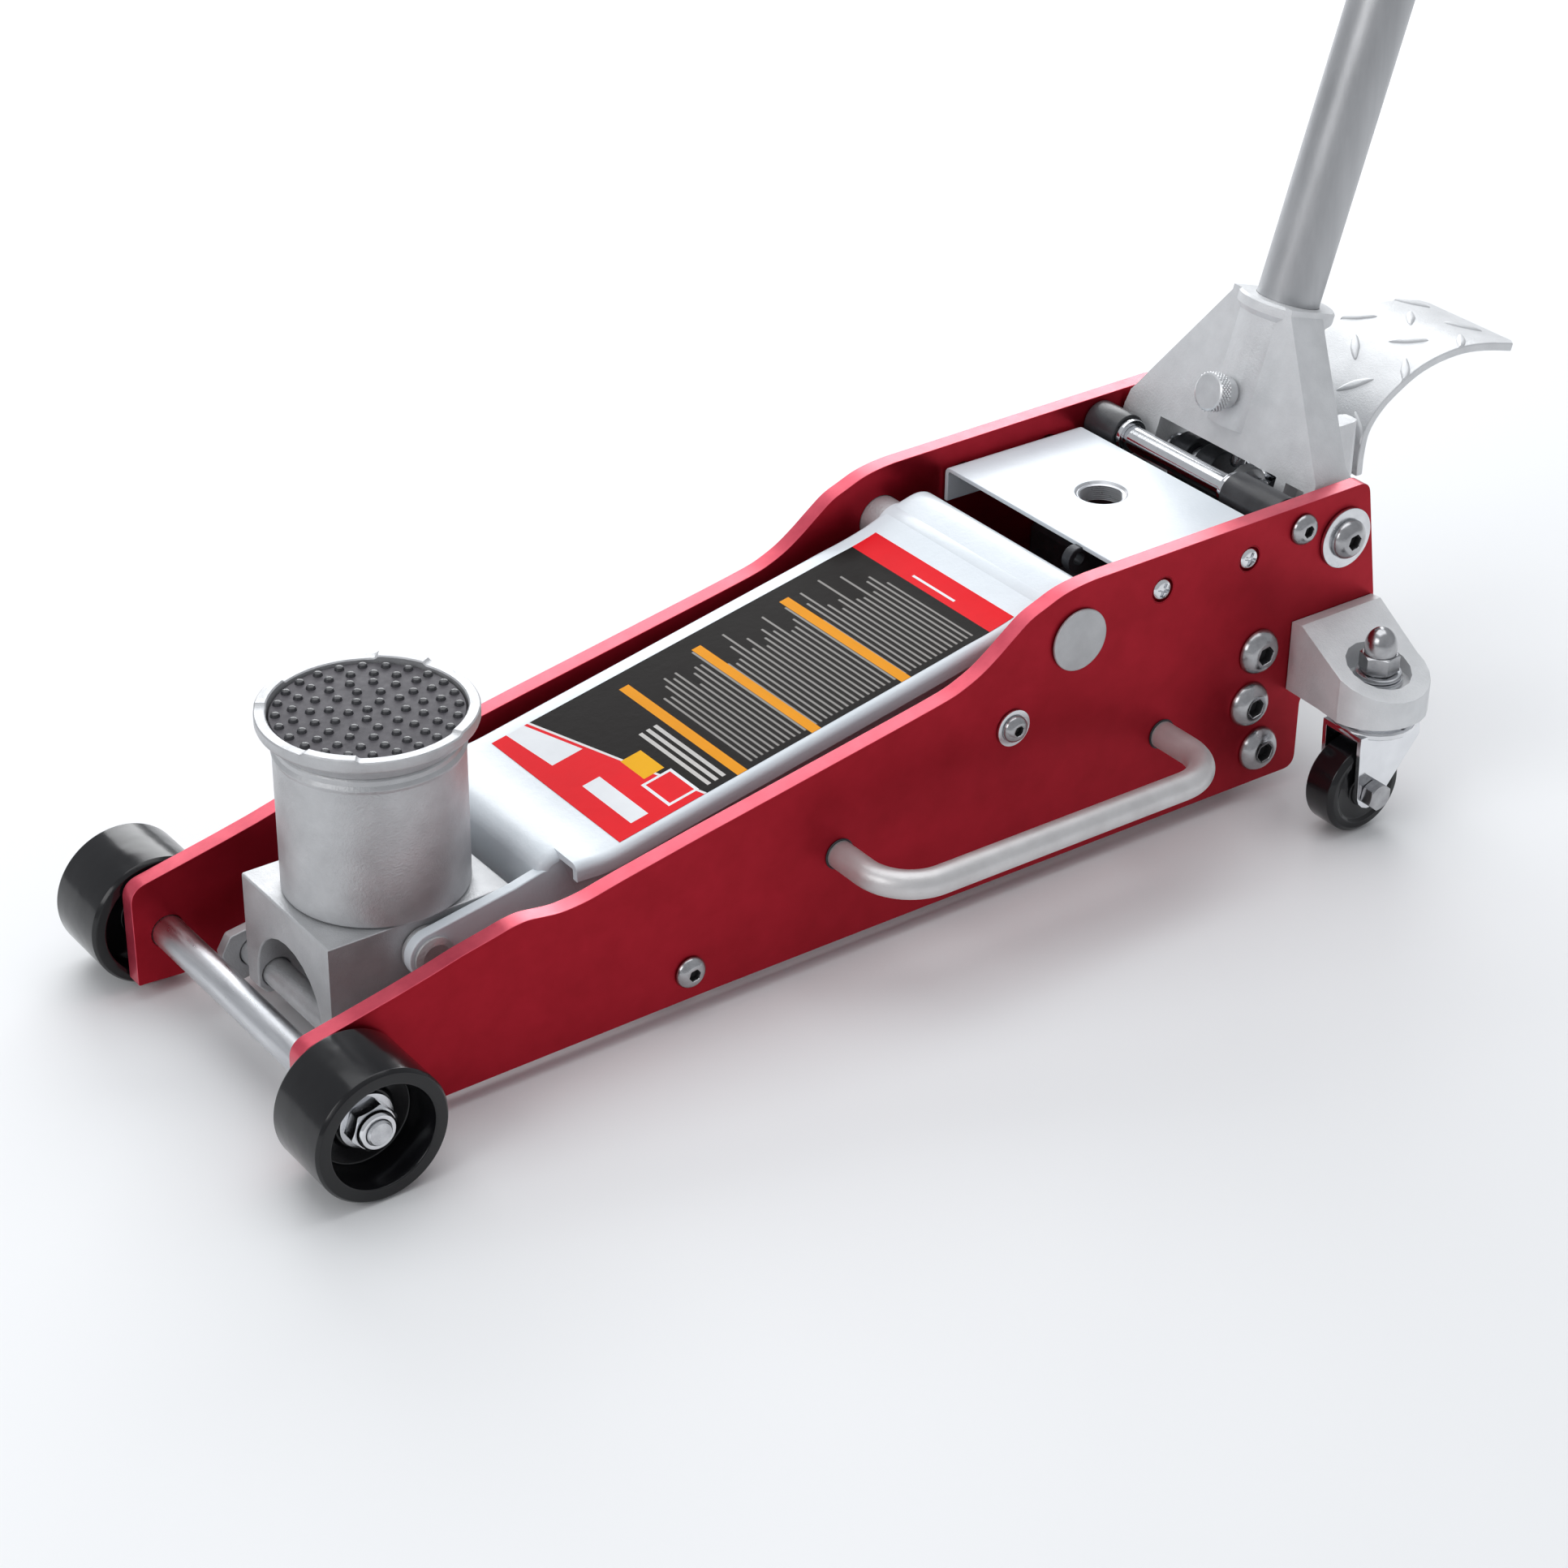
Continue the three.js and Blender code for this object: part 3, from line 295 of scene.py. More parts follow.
def surface(name, c1, c2, metallic, r1, r2, cs=40.0, bs=900.0, bd=0.00005, b2=None, coat=0.0, coat_r=0.1, spec=0.5, stretch=None, ior=1.5):
    m, nt, b, tc = node_mat(name)
    n1 = noise(nt, tc, cs, 4.0, 0.6, stretch=stretch)
    nt.links.new(ramp(nt, n1, [(0.3, c1), (0.7, c2)]), b.inputs["Base Color"])
    n2 = noise(nt, tc, cs * 2.3, 3.0, 0.6, stretch=stretch)
    nt.links.new(to_range(nt, n2, r1, r2), b.inputs["Roughness"])
    b.inputs["Metallic"].default_value = metallic
    b.inputs["Specular IOR Level"].default_value = spec
    b.inputs["IOR"].default_value = ior
    b.inputs["Coat Weight"].default_value = coat
    b.inputs["Coat Roughness"].default_value = coat_r
    h = noise(nt, tc, bs, 3.0, 0.6, stretch=stretch)
    prev = bump(nt, b, h, bd)
    if b2:
        h2 = noise(nt, tc, b2[0], 2.0, 0.5)
        bump(nt, b, h2, b2[1], prev=prev)
    return m

RED = surface("anodised_red", (0.330, 0.006, 0.016), (0.395, 0.009, 0.022), 0.80, 0.34, 0.42, 55, 2600, 0.00002, spec=0.35)
# lighter red for the plates' edge and hole-wall faces is a painted highlight that stands in for the sky's reflection on
# the edges
RED_EDGE_PAINTED_HIGHLIGHT = surface("anodised_red_edge_painted_highlight", (0.58, 0.045, 0.085), (0.70, 0.070, 0.115), 0.60, 0.30, 0.40, 90, 1800, 0.00004, spec=0.5, coat=0.45, coat_r=0.22)
CAST = surface("cast_silver_paint", (0.47, 0.475, 0.485), (0.56, 0.565, 0.575), 0.55, 0.36, 0.50, 60, 750, 0.00022, (2400, 0.00008))
BRIGHT = surface("bright_cast_paint", (0.66, 0.67, 0.68), (0.76, 0.77, 0.78), 0.35, 0.38, 0.50, 60, 800, 0.00020, (2400, 0.00008))
KNOB = surface("knurled_steel", (0.60, 0.61, 0.62), (0.72, 0.73, 0.74), 0.75, 0.30, 0.42, 90, 1500, 0.00004)
WHITE = surface("white_paint", (0.70, 0.755, 0.80), (0.76, 0.81, 0.85), 0.0, 0.30, 0.40, 18, 420, 0.00012, (60, 0.0003), coat=0.25, coat_r=0.18)
ZINC = surface("bright_zinc", (0.60, 0.61, 0.63), (0.74, 0.75, 0.77), 1.0, 0.16, 0.30, 130, 1500, 0.00003)
CHROME = surface("bright_chrome", (0.70, 0.71, 0.73), (0.80, 0.81, 0.83), 1.0, 0.08, 0.16, 60, 700, 0.00002)
STAIN = surface("stainless_heads", (0.34, 0.34, 0.35), (0.48, 0.48, 0.49), 1.0, 0.15, 0.28, 160, 1500, 0.00004)
STEEL = surface("brushed_steel", (0.50, 0.51, 0.53), (0.70, 0.71, 0.73), 1.0, 0.24, 0.40, 30, 2500, 0.00003, stretch=(6, 0.6, 6))
DARK = surface("dark_steel", (0.028, 0.030, 0.034), (0.060, 0.062, 0.068), 0.55, 0.34, 0.52, 70, 900, 0.00012)
BLACK = surface("glossy_black_wheel", (0.004, 0.004, 0.005), (0.008, 0.008, 0.009), 0.0, 0.13, 0.24, 30, 1800, 0.00002, (45, 0.0005), coat=0.15, coat_r=0.08, spec=0.35)
SLEEVE = surface("black_plastic_sleeve", (0.020, 0.020, 0.023), (0.045, 0.046, 0.050), 0.0, 0.30, 0.42, 60, 1200, 0.00006, coat=0.2, coat_r=0.2)
PAD = surface("saddle_rubber", (0.062, 0.058, 0.066), (0.090, 0.084, 0.094), 0.0, 0.50, 0.66, 140, 2200, 0.00010, spec=0.3)
STUD = surface("rubber_studs", (0.022, 0.022, 0.026), (0.040, 0.040, 0.045), 0.0, 0.22, 0.32, 90, 1500, 0.00004, coat=0.3, coat_r=0.2)
GRIP = surface("grip_rubber", (0.016, 0.016, 0.018), (0.030, 0.030, 0.033), 0.0, 0.55, 0.75, 90, 1600, 0.00015)
FOAM = surface("bumper_foam", (0.020, 0.020, 0.022), (0.042, 0.042, 0.045), 0.0, 0.80, 0.95, 200, 700, 0.00040)
TUBE = surface("satin_tube", (0.40, 0.405, 0.415), (0.50, 0.505, 0.515), 0.85, 0.30, 0.42, 14, 2600, 0.00003, stretch=(5, 5, 0.4))
CARRY = surface("satin_bar", (0.60, 0.585, 0.585), (0.70, 0.69, 0.69), 0.6, 0.34, 0.46, 60, 1800, 0.00008)
# near-black matte used as painted shade inside the hex sockets
PAINTED_SOCKET_SHADE = surface("shadowed_recess", (0.010, 0.010, 0.011), (0.020, 0.020, 0.022), 0.0, 0.7, 0.9, 80, 800, 0.0001)

def label_material():
    """printed sheet: plain colour fields and fine pale dashes, driven by the sheet's own UV map"""
    m, nt, b, tc = node_mat("printed_label")
    L, N = nt.links, nt.nodes
    sep = N.new("ShaderNodeSeparateXYZ"); L.new(tc.outputs["UV"], sep.inputs[0])
    U, Vv = sep.outputs["X"], sep.outputs["Y"]
    def mth(op, a, c=None, clamp=False):
        n = N.new("ShaderNodeMath"); n.operation = op; n.use_clamp = clamp
        for i, x in enumerate([a] if c is None else [a, c]):
            if isinstance(x, (int, float)): n.inputs[i].default_value = x
            else: L.new(x, n.inputs[i])
        return n.outputs[0]
    def band(x, lo, hi):
        return mth("MULTIPLY", mth("GREATER_THAN", x, lo), mth("LESS_THAN", x, hi))
    def AND(*xs):
        o = xs[0]
        for x in xs[1:]: o = mth("MULTIPLY", o, x)
        return o
    def mix(fac, a, c):
        n = N.new("ShaderNodeMix"); n.data_type = "RGBA"
        if isinstance(fac, (int, float)): n.inputs[0].default_value = fac
        else: L.new(fac, n.inputs[0])
        for sck, x in ((n.inputs[6], a), (n.inputs[7], c)):
            if isinstance(x, tuple): sck.default_value = (*x, 1)
            else: L.new(x, sck)
        return n.outputs[2]
    RED_INK, DARK_INK, PALE, ORANGE, YELLOW, WHITE_INK = (0.78, 0.008, 0.016), (0.007, 0.005, 0.004), (0.30, 0.285, 0.27), (0.78, 0.30, 0.006), (0.85, 0.42, 0.004), (0.80, 0.82, 0.84)
    # front edge of the dark panel slants towards the near side
    edge = mth("ADD", 0.094, mth("MULTIPLY", mth("SUBTRACT", 1.0, U), 0.118))
    dark = AND(mth("GREATER_THAN", Vv, edge), mth("LESS_THAN", Vv, 0.935))
    # plain ruled lines, each of its own length
    def per_line(count, lo, spread, w):
        t = N.new("ShaderNodeTexWhiteNoise"); t.noise_dimensions = "1D"
        L.new(mth("ADD", mth("FLOOR", mth("MULTIPLY", Vv, count)), w), t.inputs["W"])
        return mth("ADD", lo, mth("MULTIPLY", t.outputs["Value"], spread))
    ruled = AND(mth("GREATER_THAN", mth("FRACT", mth("MULTIPLY", Vv, 74.0)), 0.64), mth("GREATER_THAN", U, 0.035), mth("LESS_THAN", U, per_line(74.0, 0.62, 0.30, 3.0)))
    body = AND(ruled, mth("GREATER_THAN", Vv, 0.325), mth("LESS_THAN", Vv, 0.905))
    col = mix(body, DARK_INK, PALE)
    head = AND(mth("GREATER_THAN", Vv, 0.222), mth("LESS_THAN", Vv, 0.274), mth("GREATER_THAN", mth("FRACT", mth("MULTIPLY", Vv, 55.0)), 0.50), mth("LESS_THAN", U, 0.56), mth("GREATER_THAN", U, 0.04))
    col = mix(head, col, (0.55, 0.53, 0.51))
    for lo, hi in ((0.288, 0.312), (0.474, 0.497), (0.704, 0.728)):
        col = mix(AND(band(Vv, lo, hi), mth("LESS_THAN", U, 0.90)), col, ORANGE)
    # pale hairline along the slanted edge, a white corner block and plain blocks of colour
    hair = AND(mth("GREATER_THAN", Vv, mth("SUBTRACT", edge, 0.006)), mth("LESS_THAN", Vv, edge))
    wcorner = AND(mth("GREATER_THAN", U, 0.66), mth("LESS_THAN", Vv, mth("SUBTRACT", edge, 0.014)), mth("GREATER_THAN", Vv, mth("ADD", 0.036, mth("MULTIPLY", mth("SUBTRACT", 1.0, U), 0.028))))
    red = N.new("ShaderNodeMix"); red.data_type = "RGBA"; L.new(wcorner, red.inputs[0])
    red.inputs[6].default_value = (*RED_INK, 1); red.inputs[7].default_value = (*WHITE_INK, 1)
    front = mix(band(U, 0.06, 0.50), red.outputs[2], RED_INK)
    front = mix(AND(band(U, 0.07, 0.44), band(Vv, 0.050, 0.092)), front, WHITE_INK)
    col = mix(mth("SUBTRACT", 1.0, dark, clamp=True), col, front)
    col = mix(hair, col, (0.75, 0.75, 0.75))
    col = mix(AND(band(U, 0.28, 0.46), band(Vv, 0.150, 0.200)), col, YELLOW)
    blk = AND(band(U, 0.045, 0.255), band(Vv, 0.134, 0.208)); blk2 = AND(band(U, 0.060, 0.240), band(Vv, 0.141, 0.201))
    col = mix(blk, col, WHITE_INK); col = mix(blk2, col, RED_INK)
    col = mix(mth("GREATER_THAN", Vv, 0.935), col, RED_INK)
    col = mix(AND(band(Vv, 0.952, 0.958), band(U, 0.30, 0.60)), col, WHITE_INK)
    fade = noise(nt, tc, 60, 3.0)
    mul = N.new("ShaderNodeHueSaturation"); L.new(to_range(nt, fade, 0.96, 1.04), mul.inputs["Value"]); L.new(col, mul.inputs["Color"])
    L.new(mul.outputs["Color"], b.inputs["Base Color"])
    L.new(to_range(nt, noise(nt, tc, 90, 3.0), 0.30, 0.42), b.inputs["Roughness"])
    b.inputs["Specular IOR Level"].default_value = 0.05
    bump(nt, b, noise(nt, tc, 300, 2.0), 0.00006)
    return m
LABEL = label_material()

# ---------------------------------------------------------------- side plates
run_top = [(416.8, 158.2), (406.9, 157.3), (397.1, 155.4), (387.5, 151.9), (377.9, 147.9), (368.6, 141.3), (359.2, 134.2), (349.9, 128.1), (340.4, 123.7), (331, 120.7), (310, 116.5), (284, 111.7)]
run_nose = [(149, 86.8), (140, 84.9), (132, 83.2), (123.6, 82.1), (115, 81.8), (106.7, 82.8), (98.3, 83.9), (90, 83.2), (82, 81.5), (65, 78)]
outline = fillet([(-17, 8.2), (5, 7), (55, 8.4), (198, 10.2), (321, 10.4), (541, 9.6), (560, 9.4), (560, 50), (575, 56), (609, 62), (605.2, 96.7), (594.6, 161), (500, 159.6)], 7.5, 8)
outline = outline[1:-1] if False else outline
outline = [(-13.5, 8.2)] + outline[1:] + smooth_line(run_top, 4) + [(238, 103.3), (193, 95.2)] + smooth_line(run_nose, 4) + [(49, 73.8), (32, 69.9), (10, 65.2)] + fillet([(10, 65.2), (-17, 59.6), (-17, 8.1), (-13.5, 8.2)], 10, 10)[1:-1]
HOLES = [circle(0, 32.5, 8.3, 40), circle(184.3, 24.9, 5.3, 24), circle(369.9, 93.4, 6.3, 28), circle(408.1, 129.2, 12.8, 48), circle(551, 147, 5.3, 24), circle(*PIV, 8.3, 32)]
SCREWS = [(460.4, 139.8), (516.4, 140.3)]
for side, s in (("near", -1), ("far", 1)):
    holes = HOLES + [circle(x, z, 6.9, 40) for x, z in SCREWS]
    plate = prism("side_plate_" + side + "_sheet", outline, s * 82.2, s * 73.2, "XZ", RED, "chassis", holes, bevel=0.7, seg=3, sharp=24, limit=40, replaces="side_plate_" + side, slot="red_anodised")
    plate.data.materials.append(RED_EDGE_PAINTED_HIGHLIGHT)
    # faces that do not face sideways (outer edges, hole walls) take the lighter red: painted highlight
    for f in plate.data.polygons:
        if abs(f.normal.y) < 0.5:
            f.material_index = 1
    for i, (x, z) in enumerate(SCREWS):
        # countersunk seat and a pan-head screw with a cross recess
        polar(f"screw_seat_{side}_{i}", [(0, s * 78.6), (6.85, s * 78.6), (6.85, s * 82.0), (6.5, s * 82.0), (6.4, s * 79.6), (0, s * 79.6)], "Y", (x, z), RED, "chassis", n=48, slot="red_anodised")
        def cross(t, w=1.1, L=3.6):
            c, q = abs(math.cos(t + 0.4)), abs(math.sin(t + 0.4))
            return min(L, max(w / max(q, 1e-3) if q > c else w / max(c, 1e-3), 0) if False else (w / max(min(c, q), 1e-3)))
        polar(f"pan_screw_{side}_{i}", [(0, s * 79.7), (5.6, s * 79.7), (5.8, s * 80.4), (5.5, s * 81.4), (4.7, s * 82.3), (4.0, s * 82.7), (lambda t: min(3.7, 1.0 / max(min(abs(math.cos(t + .4)), abs(math.sin(t + .4))), 1e-3)), s * 82.75), (lambda t: min(3.3, 0.9 / max(min(abs(math.cos(t + .4)), abs(math.sin(t + .4))), 1e-3)), s * 81.2), (0, s * 80.9)], "Y", (x, z), CHROME, "chassis", n=96, slot="zinc")
    for i, (x, z) in enumerate([(527.1, 86.1), (523.6, 57.3), (532.3, 29.0)]):
        socket_head(f"unit_bolt_{side}_{i}", "Y", (x, z), s * 82.3, 12.0, 6.6, 8.6, STAIN, "chassis", s=s, slot="zinc")

# ---------------------------------------------------------------- front axle, wheels, nuts
polar("front_axle_bar", [(0, -120), (5.2, -120), (6, -119.2), (6, -105.6), (8, -105.4), (8, 105.4), (6, 105.6), (6, 119.2), (5.2, 120), (0, 120)], "Y", (0, 32.5), STEEL, "chassis", n=64, replaces="front_axle", slot="satin_tube")
for side, s in (("near", -1), ("far", 1)):
    o, i = s * 122.7, s * 83.4
    prof = [(8.3, s * 105.8), (14.5, s * 105.8), (15.5, s * 103.6), (23.6, s * 103.6), (25.4, o), (31.2, o), (32.5, o - s * 1.8), (32.5, i + s * 1.8), (31.2, i), (26, i), (25, i + s * 10), (13, i + s * 10), (13, i + s * 0.4), (8.3, i + s * 0.4)]
    prof = fillet(prof, 1.0, 4, True)
    polar("front_wheel_" + side + "_roller", prof, "Y", (0, 32.5), BLACK, "wheel_" + side, n=144, closed=True, sharp=40, replaces="front_wheel_" + side, slot="black_wheel")
    polar("front_washer_" + side, fillet([(6.3, s * 106.1), (13.2, s * 106.1), (13.2, s * 108), (6.3, s * 108)], 0.35, 2, True), "Y", (0, 32.5), ZINC, "chassis", n=64, closed=True, slot="zinc")
    hex_nut("front_nut_" + side, "Y", (0, 32.5), s * 108.05, s * 115, 20, 6.3, CHROME, "chassis", rot=12, replaces="wheel_nut_" + side, slot="zinc")
    polar("front_nut_collar_" + side, fillet([(6.3, s * 114.6), (9.6, s * 114.9), (9.2, s * 117), (8.2, s * 118.2), (6.3, s * 118.2)], 0.5, 3, True), "Y", (0, 32.5), CHROME, "chassis", n=64, closed=True, slot="zinc")
    # turned end of the axle with its thread runout
    polar("axle_tip_" + side, [(0, s * 115.9), (6.05, s * 116.0), (6.15, s * 116.6), (6.05, s * 117.2), (6.15, s * 117.8), (6.05, s * 118.4), (6.12, s * 119.0), (5.3, s * 119.95), (0, s * 119.95)], "Y", (0, 32.5), ZINC, "chassis", n=64, slot="zinc")

# ---------------------------------------------------------------- cross bolts
for side, s in (("near", -1), ("far", 1)):
    socket_head("tie_bolt_head_" + side, "Y", (184.3, 24.9), s * 82.5, 8.0, 4.2, 5.2, STAIN, "chassis", s=s, slot="zinc")
    polar("link_bolt_washer_" + side, fillet([(5, s * 82.5), (9.5, s * 82.5), (9.5, s * 83.8), (5, s * 83.8)], 0.3, 2, True), "Y", (369.9, 93.4), ZINC, "chassis", n=64, closed=True, slot="zinc")
    socket_head("link_bolt_head_" + side, "Y", (369.9, 93.4), s * 83.8, 7.0, 4.0, 4.6, STAIN, "chassis", s=s, slot="zinc")
    polar("link_bolt_shank_" + side, [(0, s * 49.8), (6, s * 49.8), (6, s * 56.8), (9, s * 56.8), (9, s * 72.9), (6, s * 72.9), (6, s * 83), (0, s * 83)], "Y", (369.9, 93.4), ZINC, "chassis", n=48, replaces="link_bolt_" + side, slot="zinc")
    socket_head("rear_shaft_head_" + side, "Y", (551, 147), s * 82.5, 8.2, 4.4, 5.4, STAIN, "chassis", s=s, slot="zinc")
    polar("yoke_bolt_washer_" + side, fillet([(7, s * 82.5), (16, s * 82.5), (16, s * 84.6), (7, s * 84.6)], 0.5, 3, True), "Y", PIV, ZINC, "chassis", n=80, closed=True, slot="zinc")
    socket_head("yoke_bolt_head_" + side, "Y", PIV, s * 84.6, 10.4, 6.0, 7.2, STAIN, "chassis", s=s, flange=0.8, slot="zinc")
    polar("yoke_bolt_shank_" + side, [(0, s * 43.5), (7.2, s * 43.5), (8, s * 44.3), (8, s * 83.4), (0, s * 83.4)], "Y", PIV, ZINC, "chassis", n=48, replaces="handle_pivot_bolt_" + side, slot="zinc")
polar("tie_bolt_rod", [(0, -82.4), (5, -82.4), (5, -73), (7, -72.9), (7, 72.9), (5, 73), (5, 82.4), (0, 82.4)], "Y", (184.3, 24.9), ZINC, "chassis", n=48, replaces="tie_bolt_front", slot="zinc")
polar("rear_cross_bar", [(0, -82.4), (5, -82.4), (5, -73), (6.5, -72.9), (6.5, 72.9), (5, 73), (5, 82.4), (0, 82.4)], "Y", (551, 147), CHROME, "chassis", n=64, replaces="rear_cross_shaft", slot="zinc")
polar("lift_pivot_bar", fillet([(0, -84.4), (15.9, -84.4), (16, -82.6), (12.5, -82.6), (12.5, 82.6), (16, 82.6), (15.9, 84.4), (0, 84.4)], 0.8, 4), "Y", (408.1, 129.2), CAST, "chassis", n=80, replaces="lift_pivot_shaft", slot="cast_silver")
for nm, y0, y1 in (("near", -69, -32), ("far", 50, 72.6)):
    polar("cross_sleeve_" + nm, fillet([(6.8, y0 + 2.5), (8.6, y0 + 2.5), (8.8, y0), (11, y0), (11, y1), (8.8, y1), (8.6, y1 - 2.5), (6.8, y1 - 2.5)], 0.7, 3, True), "Y", (551, 147), SLEEVE, "chassis", n=72, closed=True, replaces="shaft_sleeve_" + nm, slot="black_sleeve")

# ---------------------------------------------------------------- cover plate with its threaded hole
def cover():
    y1, z, t, r = 72.4, 148.2, 2.5, 4.0
    hx, hy, hr = 494.0, 4.0, 13.3
    n = 72
    x0, x1 = 448.4, 536.0
    outer = [(x0, -y1 + r), (x0, y1 - r), (x1, y1 - r), (x1, -y1 + r)]
    bm = bmesh.new()
    me = bpy.data.meshes.new("cover_plate_sheet")
    pts_out = [(x0, -y1 + r), (x1, -y1 + r), (x1, y1 - r), (x0, y1 - r)]
    hole = circle(hx, hy, hr, n)
    e = []
    for lp in (pts_out, hole):
        vs = [bm.verts.new(W(p[0], p[1], z)) for p in lp]
        for i in range(len(vs)):
            e.append(bm.edges.new((vs[i], vs[(i + 1) % len(vs)])))
    bmesh.ops.triangle_fill(bm, use_beauty=True, edges=e)
    for s in (-1, 1):
        prof = [(y1 - r, z)] + [(y1 - r + r * math.sin(a), z - r + r * math.cos(a)) for a in [rad(15 * k) for k in range(1, 7)]] + [(y1, z - 19)]
        prev = None
        for (yy, zz) in prof:
            cur = [bm.verts.new(W(x0, s * yy, zz)), bm.verts.new(W(x1, s * yy, zz))]
            if prev:
                bm.faces.new((prev[0], prev[1], cur[1], cur[0]))
            prev = cur
    bmesh.ops.remove_doubles(bm, verts=bm.verts, dist=1e-6)
    bmesh.ops.recalc_face_normals(bm, faces=bm.faces)
    # normals up
    top = max(bm.faces, key=lambda f: f.calc_area())
    if top.normal.z < 0:
        bmesh.ops.reverse_faces(bm, faces=bm.faces)
    bm.to_mesh(me); bm.free()
    me.shade_smooth(); me.set_sharp_from_angle(angle=rad(30))
    ob = bpy.data.objects.new("cover_plate_sheet", me)
    bpy.context.scene.collection.objects.link(ob)
    me.materials.append(WHITE)
    so = ob.modifiers.new("gauge", "SOLIDIFY"); so.thickness = t / 1000.0; so.offset = -1.0
    bv = ob.modifiers.new("edge", "BEVEL"); bv.width = 0.0005; bv.segments = 2; bv.limit_method = "ANGLE"; bv.angle_limit = rad(50); bv.harden_normals = True
    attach(ob, "chassis"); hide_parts("cover_plate")
    # welded boss below with a thread cut in it
    rings = [(13.3, z - 0.1), (12.2, z - 1.2)]
    k = 0; zz = z - 1.2
    while zz > z - 9.0:
        rings += [(12.0, zz), (11.1, zz - 0.55)]
        zz -= 1.1
    rings += [(11.6, z - 9.2), (16, z - 9.2), (16, z - 2.6), (13.3, z - 2.6)]
    polar("cover_thread_boss", rings, "Z", (hx, hy), STEEL, "chassis", n=72, closed=True, sharp=20, slot="zinc")
cover()

# ---------------------------------------------------------------- lift arm: one pressed sheet with rounded folds
ARM_TOP = lambda x: 89 + (x - 163) * 0.2048
skin = [(126.2, 57), (126.0, 68), (126.0, 78), (126.4, 81.4), (127.8, 84.2), (130.0, 86.2), (133, 87.6), (137, 88.1), (143, 88.0), (150, 87.6), (156, 87.9), (163, 89), (180, ARM_TOP(180)), (240, ARM_TOP(240)), (300, ARM_TOP(300)), (340, ARM_TOP(340)), (360, 129.5), (374, 132.2), (388.6, 136), (404, 141.8), (414, 145), (421, 146.2), (426.6, 145), (430.6, 141.4), (432.2, 136), (432.2, 124)]
low_edge = [(126, 66), (140, 62), (170, 58), (250, 68), (330, 84), (352, 99.5), (384, 112), (408, 109), (424, 113), (432.2, 124)]
def low_z(x):
    for (xa, za), (xb, zb) in zip(low_edge, low_edge[1:]):
        if xa <= x <= xb:
            return za + (zb - za) * (x - xa) / (xb - xa)
    return low_edge[0][1] if x < low_edge[0][0] else low_edge[-1][1]
fine = smooth_line(skin, 3)
W_IN, W_NOSE, W_WING = 43.0, 48.0, 62.0          # spine, folded nose and overhanging wings, half widths
FN, FW, GAUGE = 5.0, 4.0, 3.4
split = min(range(len(fine)), key=lambda i: abs(fine[i][0] - 137.5) + (0 if fine[i][1] > 84 else 99))
def normal_at(i):
    a, b = fine[max(0, i - 1)], fine[min(len(fine) - 1, i + 1)]
    tx, tz = b[0] - a[0], b[1] - a[1]; l = math.hypot(tx, tz)
    return -tz / l, tx / l
def row_of(i, wing):
    x, z = fine[i]; nx, nz = normal_at(i)
    row = []
    if wing:
        depth = 9.0 if x < 414 else max(FW + 0.5, 9.0 - 4.5 * (x - 414) / 12.6)
        ys = (W_IN, 50.0, W_WING - FW)
        row += [(x, y, z) for y in ys]
        row += [(x - nx * FW * (1 - math.cos(rad(15 * k))), W_WING - FW + FW * math.sin(rad(15 * k)), z - nz * FW * (1 - math.cos(rad(15 * k)))) for k in range(1, 7)]
        row += [(x - nx * (FW + (depth - FW) * k), W_WING, z - nz * (FW + (depth - FW) * k)) for k in (0.5, 1.0)]
    else:
        row += [(x, W_IN, z)]
        row += [(x - nx * FN * (1 - math.cos(rad(15 * k))), W_IN + FN * math.sin(rad(15 * k)), z - nz * FN * (1 - math.cos(rad(15 * k)))) for k in range(1, 7)]
    return row
verts, faces = [], []
def patch(rows):
    base, m = len(verts), len(rows[0])
    for r_ in rows:
        verts.extend(r_)
    for i in range(len(rows) - 1):
        for j in range(m - 1):
            faces.append([base + i * m + j, base + i * m + j + 1, base + (i + 1) * m + j + 1, base + (i + 1) * m + j])
flip = lambda rows: [[(p[0], -p[1], p[2]) for p in r_] for r_ in rows]
patch([[(x, y, z) for y in (-W_IN, -30, -15, 0, 15, 30, W_IN)] for x, z in fine])
nose = [row_of(i, False) for i in range(split + 1)]
wing = [row_of(i, True) for i in range(split, len(fine))]
for part in (nose, wing):
    patch(part); patch(flip(part))
me = bpy.data.meshes.new("lift_arm_sheet")
me.from_pydata([W(*v) for v in verts], [], faces)
bm = bmesh.new(); bm.from_mesh(me)
bmesh.ops.remove_doubles(bm, verts=bm.verts, dist=2e-6)
bmesh.ops.dissolve_degenerate(bm, dist=1e-6, edges=bm.edges)
bmesh.ops.recalc_face_normals(bm, faces=bm.faces)
bm.normal_update()
up = [f for f in bm.faces if abs(f.calc_center_median().y) < 0.02 and -0.2 < f.calc_center_median().x < -0.1]
if up and sum(f.normal.z for f in up) < 0:
    bmesh.ops.reverse_faces(bm, faces=bm.faces)
bm.to_mesh(me); bm.free()
me.shade_smooth(); me.set_sharp_from_angle(angle=rad(40))
arm = bpy.data.objects.new("lift_arm_sheet", me); bpy.context.scene.collection.objects.link(arm); me.materials.append(WHITE)
so = arm.modifiers.new("gauge", "SOLIDIFY"); so.thickness = GAUGE / 1000; so.offset = -1.0; so.use_quality_normals = True
bv = arm.modifiers.new("edge", "BEVEL"); bv.width = 0.0006; bv.segments = 2; bv.limit_method = "ANGLE"; bv.angle_limit = rad(55); bv.harden_normals = True
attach(arm, "arm"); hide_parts("lift_arm")
HP = (70, 58)
